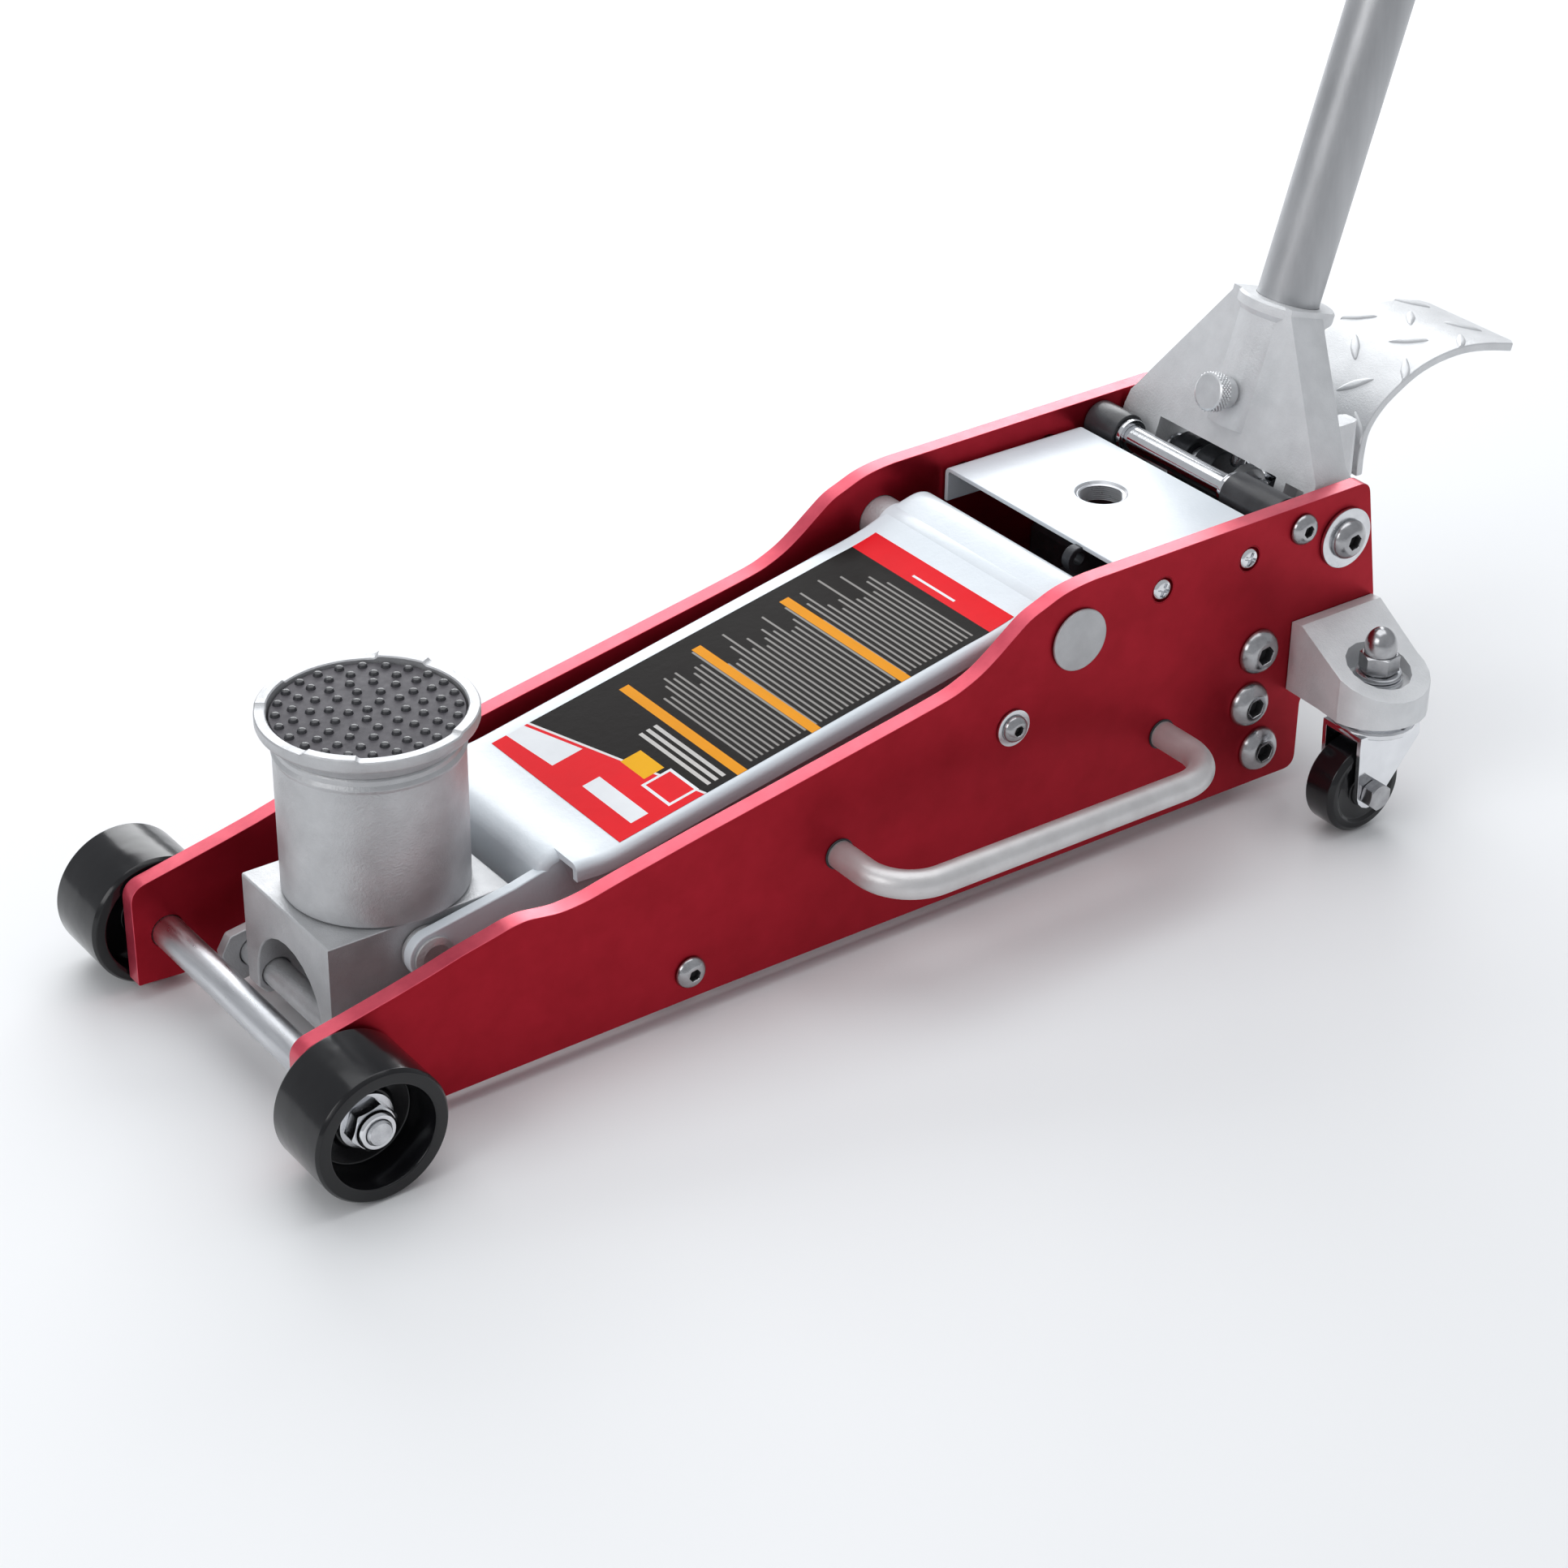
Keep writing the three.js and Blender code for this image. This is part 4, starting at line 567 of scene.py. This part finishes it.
# inner side webs, their top edge tucked inside the sheet
web_top = []
for i in range(0, len(fine)):
    nx, nz = normal_at(i); off = 4.4 if i < split else 1.8
    web_top.append((fine[i][0] - nx * off, fine[i][1] - nz * off))
web_top = [p for k, p in enumerate(web_top) if k % 2 == 0 or k == len(web_top) - 1]
web_top = [p for p in web_top if p[0] < 427.5 or p[1] > 126]
web_low = [(427.0, 117), (424, 113), (408, 109), (384, 112), (352, 99.5), (330, 84), (250, 68), (170, 58), (140, 60), (131, 61.5)]
web = [p for p in web_top if p[1] > 62] + web_low
tongue = arc(HP[0], HP[1], 12, 290, 105, 24) + [(114, 77.5), (128, 81), (140, 81), (150, 56), (126, 51.5)]
EXX, EZZ = 408.1 + 50 * math.sin(rad(35)), 129.2 - 50 * math.cos(rad(35))
ear = arc(408.1, 129.2, 13.5, -5, 170, 30) + [(389.6, 127)] + arc(408.1, 129.2, 19, 192, 250, 14) + arc(EXX, EZZ, 13, 215, 350, 24)
for side, s in (("near", -1), ("far", 1)):
    prism("arm_web_" + side, web, s * 47.9, s * 42.2, "XZ", WHITE, "arm", bevel=0.5, limit=50, slot="white_paint")
    prism("arm_tongue_" + side, tongue, s * 48, s * 42, "XZ", WHITE, "arm", [circle(*HP, 7.3, 32)], bevel=0.8, seg=2, slot="white_paint")
    prism("arm_lever_" + side, ear, s * 29, s * 21.5, "XZ", WHITE, "arm", [circle(408.1, 129.2, 12.8, 40)], bevel=0.6, limit=45, slot="white_paint")
polar("arm_hub_tube", fillet([(12.8, -61), (13.6, -61), (13.6, 61), (12.8, 61)], 0.2, 2, True), "Y", (408.1, 129.2), WHITE, "arm", n=72, closed=True, slot="white_paint")
polar("arm_lever_pin", [(0, -31), (7.4, -31), (8, -30.4), (8, 30.4), (7.4, 31), (0, 31)], "Y", (EXX, EZZ), ZINC, "arm", n=40, slot="zinc")

# printed sheet on the arm
lv, lf, uvs = [], [], []
NX, NY = 60, 14
for i in range(NX + 1):
    x = 163 + 225.5 * i / NX
    for k in range(len(fine) - 1):
        if fine[k][0] <= x <= fine[k + 1][0]:
            (xa, za), (xb, zb) = fine[k], fine[k + 1]
            z = za + (zb - za) * (x - xa) / max(xb - xa, 1e-6)
            break
    for j in range(NY + 1):
        y = -57.6 + (51.2 + 57.6) * j / NY
        lv.append((x, y, z + 0.25)); uvs.append((j / NY * 1.0, i / NX))
for i in range(NX):
    for j in range(NY):
        a = i * (NY + 1) + j
        lf.append([a, a + NY + 1, a + NY + 2, a + 1])
me = bpy.data.meshes.new("arm_label_sheet"); me.from_pydata([W(*v) for v in lv], [], lf)
uvl = me.uv_layers.new(name="UVMap")
for poly in me.polygons:
    for li in poly.loop_indices:
        uvl.data[li].uv = uvs[me.loops[li].vertex_index]
me.shade_smooth()
lab = bpy.data.objects.new("arm_label_sheet", me); bpy.context.scene.collection.objects.link(lab); me.materials.append(LABEL)
so = lab.modifiers.new("gauge", "SOLIDIFY"); so.thickness = 0.0002; so.offset = -1.0
bv = lab.modifiers.new("edge", "BEVEL"); bv.width = 0.00004; bv.segments = 1; bv.limit_method = "ANGLE"; bv.angle_limit = rad(60); bv.harden_normals = True
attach(lab, "arm")

# ---------------------------------------------------------------- links, head, adapter, saddle
ang = math.degrees(math.atan2(93.4 - 22.2, 369.9 - 31.8))
tip = [(8, 12.5), (-9, 13.5), (-15.5, 6.5), (-15.5, -4.5), (-9.5, -12), (8, -12)]
tip = [(31.8 + p * math.cos(rad(ang)) - q * math.sin(rad(ang)), 22.2 + p * math.sin(rad(ang)) + q * math.cos(rad(ang))) for p, q in tip]
link_out = arc(369.9, 93.4, 11, ang - 90, ang + 90, 24) + fillet([(369.9 + 11 * math.cos(rad(ang + 90)), 93.4 + 11 * math.sin(rad(ang + 90)))] + tip + [(369.9 + 11 * math.cos(rad(ang - 90)), 93.4 + 11 * math.sin(rad(ang - 90)))], 2.5, 4)[1:-1]
for side, s in (("near", -1), ("far", 1)):
    prism("link_bar_" + side, link_out, s * 56.4, s * 50.4, "XZ", CAST, "link_" + side, [circle(369.9, 93.4, 6.3, 32), circle(31.8, 22.2, 7.5, 32)], bevel=0.7, seg=2, replaces="parallel_link_" + side, slot="dark_steel")
polar("link_cross_rod", [(0, -59.8), (8.3, -59.8), (9.4, -58.8), (9.4, -56.8), (7, -56.8), (7, 56.8), (9.4, 56.8), (9.4, 58.8), (8.3, 59.8), (0, 59.8)], "Y", (31.8, 22.2), CAST, "head", n=48, replaces="link_rod", slot="cast_silver")
refine("lift_head", CAST, 1.1, 3, 40, slot="cast_silver")
for side, s in (("near", -1), ("far", 1)):
    polar("head_pin_turned_" + side, fillet([(0, s * 51.4), (7, s * 51.4), (10, s * 49.8), (10, s * 48.3), (7, s * 48.3), (7, s * 41.7), (11.5, s * 41.7), (11.5, s * 39.6), (7, s * 39.6), (7, s * 31.4), (0, s * 31.4)], 0.5, 3), "Y", HP, CAST, "head", n=56, replaces="head_pin_" + side, slot="cast_silver")
SX = (69.9, 0)
polar("adapter_cup", fillet([(0, 56.5), (11, 56.5), (12, 58), (12, 73.7), (41.7, 73.7), (42.9, 74.9), (42.9, 142.6), (43.5, 144.4), (42.1, 146.2), (42.1, 148.4), (41.2, 149.4), (12.3, 149.4), (12.3, 122), (0, 122)], 0.7, 3), "Z", SX, CAST, "head", n=120, sharp=50, replaces="saddle_adapter", slot="cast_silver")
def rim(t):
    """four raised arcs on the cast rim"""
    u = (math.degrees(t) - 40 + 45) % 90 - 45
    k = min(1.0, max(0.0, (15.4 - abs(u)) / 1.3))
    return 162.2 + 1.3 * k
rim_lo = lambda t: rim(t) - 0.6
polar("saddle_cup_casting", [(0, 123), (11, 123), (12, 124.2), (12, 149.7), (41.8, 149.7), (42.4, 150.4), (43.2, 151.4), (44.6, 153.2), (46.4, 154.8), (48.2, 156.0), (49.3, 156.9), (49.7, 158), (49.7, rim_lo), (49.1, rim), (44.9, rim), (44.3, rim_lo), (44.0, 155), (0, 155)], "Z", SX, CAST, "saddle_cup", n=288, sharp=36, replaces="saddle", slot="cast_silver")
polar("saddle_pad_disc", fillet([(0, 155.3), (43.4, 155.3), (43.4, 160.5), (0, 160.5)], 0.9, 3), "Z", SX, PAD, "saddle_cup", n=96, replaces="saddle_pad", slot="saddle_rubber")
# moulded studs in rings
sv, sf = [], []
def stud(cx, cy, r, z0, h):
    n, b = 16, len(sv)
    prof = [(r * 1.12, 0), (r, h * 0.35), (r * 0.86, h * 0.72), (r * 0.5, h * 0.95), (0, h)]
    for rr, zz in prof[:-1]:
        for i in range(n):
            a = 2 * math.pi * i / n
            sv.append((cx + rr * math.cos(a), cy + rr * math.sin(a), z0 + zz))
    sv.append((cx, cy, z0 + h))
    for j in range(3):
        for i in range(n):
            k = (i + 1) % n
            sf.append([b + j * n + i, b + j * n + k, b + (j + 1) * n + k, b + (j + 1) * n + i])
    for i in range(n):
        sf.append([b + 3 * n + i, b + 3 * n + (i + 1) % n, b + 4 * n])
    sf.append([b + (n - 1 - i) for i in range(n)])
for count, radius, off in ((1, 0, 0), (5, 8.6, 0.3), (10, 16.8, 0.1), (15, 25.0, 0.25), (20, 33.0, 0.05), (24, 40.2, 0.2)):
    for i in range(count):
        a = 2 * math.pi * (i + off) / count
        stud(SX[0] + radius * math.cos(a), radius * math.sin(a), 2.15, 160.3, 2.1)
new_obj("saddle_studs", sv, sf, STUD, "saddle_cup", slot="saddle_rubber", merge=False)

# ---------------------------------------------------------------- hydraulic unit
refine("ram_crosshead", DARK, 0.8, slot="dark_steel")
EX0 = EXX + 13.8
polar("ram_rod_bar", fillet([(0, EX0), (14.2, EX0), (15, EX0 + 0.8), (15, EX0 + 80), (0, EX0 + 80)], 0.4, 2), "X", (0, 83), CHROME, "ram_rod", n=64, replaces="ram", slot="zinc")
polar("lift_cylinder_tube", fillet([(15.3, 457), (21, 457), (22, 458), (22, 464), (27, 464.5), (27, 507.7), (15.3, 507.7)], 0.7, 3, True), "X", (0, 83), DARK, "chassis", n=80, closed=True, replaces="lift_cylinder", slot="dark_steel")
refine("power_unit", DARK, 1.2, 3, 40, slot="dark_steel")
for side, s in (("near", -1), ("far", 1)):
    refine("pump_piston_" + side, CHROME, None, slot="zinc", sharp=40)
refine("release_spindle", ZINC, None, slot="zinc", sharp=40)

# ---------------------------------------------------------------- yoke, roller, thumb screw, pedal
refine("handle_yoke", BRIGHT, 1.0, 3, 32, slot="cast_silver", sharp=34)
refine("pump_roller", ZINC, 0.4, 2, slot="zinc")
def knurl(base, amp, teeth, a):
    """one ring of a diamond knurl: two crossing helices"""
    tri = lambda x: abs((x % 1.0) * 2 - 1)
    return lambda t: base + amp * (min(tri(t / (2 * math.pi) * teeth + a / 2.1), tri(t / (2 * math.pi) * teeth - a / 2.1)) - 0.3)
kn = [(knurl(9.75, 1.0, 30, 0.2 * k), -35.9 + 0.2 * k) for k in range(0, 29)]
polar("thumb_screw_knob", [(0, -37), (8.6, -37), (9.6, -36.5)] + kn + [(9.8, -30.0), (8.6, -29.2), (8.2, -28.8), (8.0, -28.4), (8.0, -23.3), (7.6, -22.9), (5, -22.9), (5, -16.8), (0, -16.8)], "LX", (0, 45), KNOB, "screw", n=288, sharp=18, replaces="thumb_screw", slot="zinc")

def pedal():
    top = smooth_line([(638.4, 131), (638.6, 143), (641, 156), (648.6, 166.8), (660, 175.4), (678, 184), (702, 188), (722, 186.4), (745, 181)], 4)
    t = 4.5
    rows, n = [], len(top)
    def lims(x):
        a = [(625, -30, 35), (690, -31, 35.6), (741, -34.4, 36.4), (743.6, -33, 35), (744.7, -29, 31)]
        for (xa, l0, r0), (xb, l1, r1) in zip(a, a[1:]):
            if xa <= x <= xb:
                k = (x - xa) / (xb - xa); return l0 + (l1 - l0) * k, r0 + (r1 - r0) * k
        return a[-1][1], a[-1][2]
    v, f = [], []
    NY = 12
    for i, (x, z) in enumerate(top):
        a, b = top[max(0, i - 1)], top[min(n - 1, i + 1)]
        dx, dz = b[0] - a[0], b[1] - a[1]; l = math.hypot(dx, dz)
        nx, nz = -dz / l, dx / l
        lo, hi = lims(x)
        for sgn, off in ((1, 0.0), (0, t)):
            for j in range(NY + 1):
                y = lo + (hi - lo) * j / NY
                v.append((x - nx * off, y, z - nz * off))
    R = 2 * (NY + 1)
    for i in range(n - 1):
        for j in range(NY):
            f.append([i * R + j, i * R + j + 1, (i + 1) * R + j + 1, (i + 1) * R + j])
            o = NY + 1
            f.append([i * R + o + j, (i + 1) * R + o + j, (i + 1) * R + o + j + 1, i * R + o + j + 1])
        for j in (0, NY):
            f.append([i * R + j, (i + 1) * R + j, (i + 1) * R + NY + 1 + j, i * R + NY + 1 + j])
    for i in (0, n - 1):
        f.append([i * R + j for j in range(NY + 1)] + [i * R + NY + 1 + j for j in reversed(range(NY + 1))])
    new_obj("pedal_plate", v, f, BRIGHT, "yoke", bevel=0.8, limit=50, sharp=40, replaces="foot_pedal", slot="cast_silver")
    # raised tread lozenges, crossing each other in a pattern
    S = [0.0]
    for a, b in zip(top, top[1:]):
        S.append(S[-1] + math.hypot(b[0] - a[0], b[1] - a[1]))
    def at(s_, y, h):
        for i in range(n - 1):
            if S[i] <= s_ <= S[i + 1]:
                k = (s_ - S[i]) / (S[i + 1] - S[i]); a, b = top[i], top[i + 1]
                l = math.hypot(b[0] - a[0], b[1] - a[1]); nx, nz = -(b[1] - a[1]) / l, (b[0] - a[0]) / l
                return (a[0] + (b[0] - a[0]) * k + nx * h, y, a[1] + (b[1] - a[1]) * k + nz * h)
        return (top[-1][0], y, top[-1][1])
    lv2, lf2 = [], []
    s_mid = next(S[q] for q in range(n) if top[q][0] >= 684)
    marks = [(s_mid + 40 * a, -8 + 38 * c, -45) for a in (-1, 0, 1) for c in (0, 1)] + [(s_mid + 20 + 40 * a, 11 + 37 * c, 45) for a in (-2, -1, 0, 1) for c in (-1, 0)]
    for s0, yc, dg in marks:
        if not (13 < s0 < S[-1] - 9 and -31 < yc < 34):
            continue
        dirn = rad(dg)
        L, Wd, H = 21.0, 5.2, 1.2
        b, m_ = len(lv2), 28
        ringpts = []
        for i in range(m_):
            a = 2 * math.pi * i / m_
            px = L / 2 * math.cos(a); py = Wd / 2 * math.sin(a) * (1 - 0.30 * abs(math.cos(a)))
            ringpts.append((px * math.cos(dirn) - py * math.sin(dirn), px * math.sin(dirn) + py * math.cos(dirn)))
        for sc, hh in ((1.0, -0.4), (0.99, 0.05), (0.90, 0.55), (0.74, 0.95), (0.45, H)):
            for px, py in ringpts:
                ss = min(max(s0 + px * sc, 1.0), S[-1] - 1.0)
                x_ = at(ss, 0, 0)[0]
                lo, hi = lims(x_)
                lv2.append(at(ss, min(max(yc + py * sc, lo + 0.3), hi - 0.3), hh))
        for j in range(4):
            for i in range(m_):
                h2 = (i + 1) % m_
                lf2.append([b + j * m_ + i, b + j * m_ + h2, b + (j + 1) * m_ + h2, b + (j + 1) * m_ + i])
        lf2.append([b + 4 * m_ + i for i in range(m_)])
        lf2.append([b + i for i in reversed(range(m_))])
    new_obj("pedal_tread", lv2, lf2, BRIGHT, "yoke", slot="cast_silver", merge=False, sharp=60)
pedal()

# ---------------------------------------------------------------- handle
HR, HL, HJ, HT = 16.25, 30, 500, 1010
polar("handle_lower_tube", fillet([(13.8, HL), (HR, HL), (HR, HJ), (13.8, HJ)], 0.6, 3, True), "L", None, TUBE, "handle", n=72, closed=True, replaces="handle_lower", slot="satin_tube")
polar("handle_upper_tube", fillet([(0, HJ - 70), (12.5, HJ - 70), (13.5, HJ - 68), (13.5, HJ + 0.3), (HR, HJ + 0.3), (HR, HT - 2), (14.5, HT), (0, HT)], 0.5, 3), "L", None, TUBE, "handle", n=72, replaces="handle_upper", slot="satin_tube")
gr = [(16.55, 880), (18.0, 880), (18.6, 881)]
u = 884.0
while u < HT - 12:
    gr += [(18.6, u), (18.55, u + 0.8), (17.7, u + 1.4), (17.7, u + 2.6), (18.55, u + 3.2)]
    u += 6.0
gr += [(18.6, HT - 5), (18.0, HT - 3), (16.55, HT - 3)]
polar("handle_grip_sleeve", gr, "L", None, GRIP, "handle", n=72, closed=True, sharp=60, replaces="handle_grip", slot="grip_rubber")
polar("handle_bumper_sleeve", fillet([(16.55, 330), (23.5, 330), (23.5, 470), (16.55, 470)], 3.0, 6, True), "L", None, FOAM, "handle", n=72, closed=True, replaces="handle_bumper", slot="grip_rubber")
polar("release_rod_turned", fillet([(0, 6), (3, 6), (4, 8), (4, 32), (13.4, 32), (13.4, 40), (0, 40)], 0.5, 2), "L", None, ZINC, "handle", n=40, replaces="release_rod", slot="zinc") if BODY_OF["release_rod"] == "handle" else refine("release_rod", ZINC, None, slot="zinc")

# ---------------------------------------------------------------- casters
CXX, CYY, TR, CR = 566.0, 128.0, 10.6, 24.0
for side, s in (("near", -1), ("far", 1)):
    cy = s * CYY; hub = CXX - TR
    refine("caster_bracket_" + side, BRIGHT, 1.4, 3, 32, slot="cast_silver")
    w = [(4.3, cy - 10.6), (9, cy - 10.6), (9, cy - 8.5), (17, cy - 8.5), (18.6, cy - 9.8), (21.6, cy - 9.8), (CR, cy - 7.6), (CR, cy + 7.6), (21.6, cy + 9.8), (18.6, cy + 9.8), (17, cy + 8.5), (9, cy + 8.5), (9, cy + 10.6), (4.3, cy + 10.6)]
    polar("caster_roller_" + side, fillet(w, 1.2, 4, True), "Y", (hub, CR), BLACK, "roll_" + side, n=112, closed=True, sharp=45, replaces="caster_wheel_" + side, slot="black_wheel")
    refine("caster_fork_" + side, CHROME, 0.5, 2, 40, slot="zinc")
    hex_nut("caster_bolt_head_" + side, "Y", (hub, CR), s * (CYY + 13.8), s * (CYY + 20.6), 13, 0, STAIN, "swivel_" + side, rot=20, replaces="caster_axle_" + side, slot="zinc")
    hex_nut("caster_bolt_nut_" + side, "Y", (hub, CR), s * (CYY - 13.8), s * (CYY - 20.2), 13, 0, STAIN, "swivel_" + side, rot=5, slot="zinc")
    polar("caster_bolt_shank_" + side, [(0, s * (CYY - 14)), (4, s * (CYY - 14)), (4, s * (CYY + 14)), (0, s * (CYY + 14))], "Y", (hub, CR), ZINC, "swivel_" + side, n=32, slot="zinc")
    polar("stem_washer_" + side, fillet([(7.3, 78.3), (12.4, 78.3), (12.4, 81.0), (7.3, 81.0)], 0.4, 2, True), "Z", (CXX, cy), ZINC, BODY_OF["acorn_nut_" + side], n=64, closed=True, slot="zinc")
    polar("stem_spring_washer_" + side, fillet([(7.3, 81.4), (11.6, 81.4), (11.6, 84.0), (7.3, 84.0)], 0.4, 2, True), "Z", (CXX, cy), ZINC, BODY_OF["acorn_nut_" + side], n=64, closed=True, slot="zinc")
    hex_nut("acorn_hex_" + side, "Z", (CXX, cy), 84.3, 93.8, 17.5, 0, STAIN, BODY_OF["acorn_nut_" + side], rot=10, replaces="acorn_nut_" + side, slot="zinc")
    dome = [(0, 93.0), (7.9, 93.2), (8.1, 94.2), (8.1, 97.6)] + [(8.1 * math.cos(rad(a)), 97.6 + 9.9 * math.sin(rad(a))) for a in (12, 24, 36, 48, 60, 70, 80)] + [(0, 107.5)]
    polar("acorn_dome_" + side, dome, "Z", (CXX, cy), STAIN, BODY_OF["acorn_nut_" + side], n=64, slot="zinc")

# ---------------------------------------------------------------- pump head between the yoke's legs
def pump_web(name, r, x0, x1, y0, y1, material, bev, slot):
    pts = arc(*PIV, r, -72, 195, 36) + [(x0, 101.4), (x1, 101.4)]
    prism(name, pts, y0, y1, "XZ", material, "chassis", bevel=bev, seg=3, limit=50, slot=slot)
pump_web("pump_web_far", 11.6, 568.4, 583.0, 26.0, 38.0, DARK, 1.2, "dark_steel")
pump_web("pump_web_mid", 10.4, 570.0, 582.0, -13.6, -6.8, CAST, 0.8, "cast_silver")
pump_web("pump_web_near", 11.6, 568.4, 583.0, -42.6, -30.5, DARK, 1.6, "dark_steel")
pump_web("pump_web_core", 11.4, 569.0, 583.0, 6.9, 20.0, DARK, 1.0, "dark_steel")
polar("pump_bush_far", fillet([(4.4, 20.6), (7.0, 20.6), (7.6, 25.9), (4.4, 25.9)], 0.5, 3, True), "Y", PIV, STEEL, "chassis", n=56, closed=True, slot="zinc")
polar("pump_pin", fillet([(0, -30.4), (5.6, -30.4), (5.6, -20.2), (6.6, -20.0), (6.6, -13.8), (0, -13.8)], 0.5, 3), "Y", PIV, CHROME, "chassis", n=56, slot="zinc")
lug = arc(446.2, 140.6, 6.6, 62, 235, 20) + [(452, 129), (472, 128), (472, 143.6), (450.5, 145.0)]
prism("cylinder_lug", lug, -36.2, -30.6, "XZ", DARK, "chassis", [circle(446.4, 141.4, 3.0, 24)], bevel=0.6, limit=40, slot="dark_steel")
for nm, ya, yb in (("near", -31.6, -28.4), ("far", 46.4, 49.6)):
    polar("cross_bar_collar_" + nm, fillet([(6.6, ya), (9.4, ya), (9.4, yb), (6.6, yb)], 0.5, 3, True), "Y", (551, 147), CHROME, "chassis", n=56, closed=True, slot="zinc")
for side, s in (("near", -1), ("far", 1)):
    for e, x in (("front", 268.6), ("rear", 466.2)):
        polar(f"carry_ring_{side}_{e}", fillet([(7.15, s * 82.35), (8.0, s * 82.35), (7.8, s * 82.9), (7.15, s * 82.9)], 0.15, 2, True), "Y", (x, 58.5), DARK, "chassis", n=56, closed=True, slot="dark_steel")

# ---------------------------------------------------------------- carrying handles
for side, s in (("near", -1), ("far", 1)):
    b, X0, X1, YY = 25.0, 268.6, 466.2, 127.0
    pts = [(X0, s * 82.3, 58.5), (X0, s * 92, 58.5)] + [(X0 + b - b * math.cos(rad(a)), s * (YY - b + b * math.sin(rad(a))), 58.5) for a in range(0, 91, 6)] + [(X1 - b + b * math.sin(rad(a)), s * (YY - b + b * math.cos(rad(a))), 58.5) for a in range(0, 91, 6)] + [(X1, s * 92, 58.5), (X1, s * 82.3, 58.5)]
    tube_along("carry_bar_" + side, pts, 7.0, CARRY, "chassis", n=40, replaces="carry_handle_" + side, slot="satin_tube")

# ---------------------------------------------------------------- camera, floor, light
cam_d = bpy.data.cameras.new("camera"); cam = bpy.data.objects.new("camera", cam_d)
bpy.context.scene.collection.objects.link(cam)
az, el, roll = rad(-36.28), rad(30.5), rad(0.79)
back = Vector((math.sin(az) * math.cos(el), -math.cos(az) * math.cos(el), math.sin(el)))
right = Vector((0, 0, 1)).cross(back).normalized(); upv = back.cross(right)
c, s = math.cos(roll), math.sin(roll)
ax, ay = c * right + s * upv, -s * right + c * upv
cam.matrix_world = Matrix(((ax.x, ay.x, back.x, -1.02310), (ax.y, ay.y, back.y, -1.21262), (ax.z, ay.z, back.z, 0.93295), (0, 0, 0, 1)))
cam_d.sensor_fit = "HORIZONTAL"; cam_d.sensor_width = 36.0
cam_d.lens = 36.0 * 4426.75 / 1932.0
cam_d.clip_start = 0.05; cam_d.clip_end = 60
bpy.context.scene.camera = cam

fm, nt, fb, tc = node_mat("pale_floor")
nt.links.new(ramp(nt, noise(nt, tc, 3.0, 2.0), [(0.3, (0.86, 0.865, 0.87)), (0.7, (0.88, 0.885, 0.89))]), fb.inputs["Base Color"])
fb.inputs["Roughness"].default_value = 0.75
fme = bpy.data.meshes.new("floor")
fme.from_pydata([(-14, -14, -0.0004), (14, -14, -0.0004), (14, 14, -0.0004), (-14, 14, -0.0004)], [], [(0, 1, 2, 3)])
floor = bpy.data.objects.new("floor", fme); bpy.context.scene.collection.objects.link(floor); fme.materials.append(fm)

def area(name, loc, target, size, energy, colour=(1, 1, 1), sy=None):
    d = bpy.data.lights.new(name, "AREA"); d.shape = "RECTANGLE"; d.size = size; d.size_y = sy or size; d.energy = energy; d.color = colour
    o = bpy.data.objects.new(name, d); bpy.context.scene.collection.objects.link(o)
    o.location = loc
    o.rotation_euler = (Vector(target) - Vector(loc)).to_track_quat("-Z", "Y").to_euler()
    return o
area("top_soft", (0.1, 0.5, 2.4), (0, 0, 0.05), 2.6, 31, (0.97, 0.985, 1.0))
area("left_soft", (-2.6, -0.3, 1.5), (0, 0, 0.1), 1.6, 16, (1, 1, 1), 1.2)
area("back_soft", (1.3, 2.5, 1.45), (0, 0, 0.1), 2.6, 52, (0.97, 0.985, 1.0), 1.6)
world = bpy.data.worlds.new("studio"); bpy.context.scene.world = world
world.use_nodes = True
bg = world.node_tree.nodes["Background"]; bg.inputs["Color"].default_value = (0.93, 0.955, 1.0, 1); bg.inputs["Strength"].default_value = 0.50
bpy.context.scene.view_settings.view_transform = "Standard"
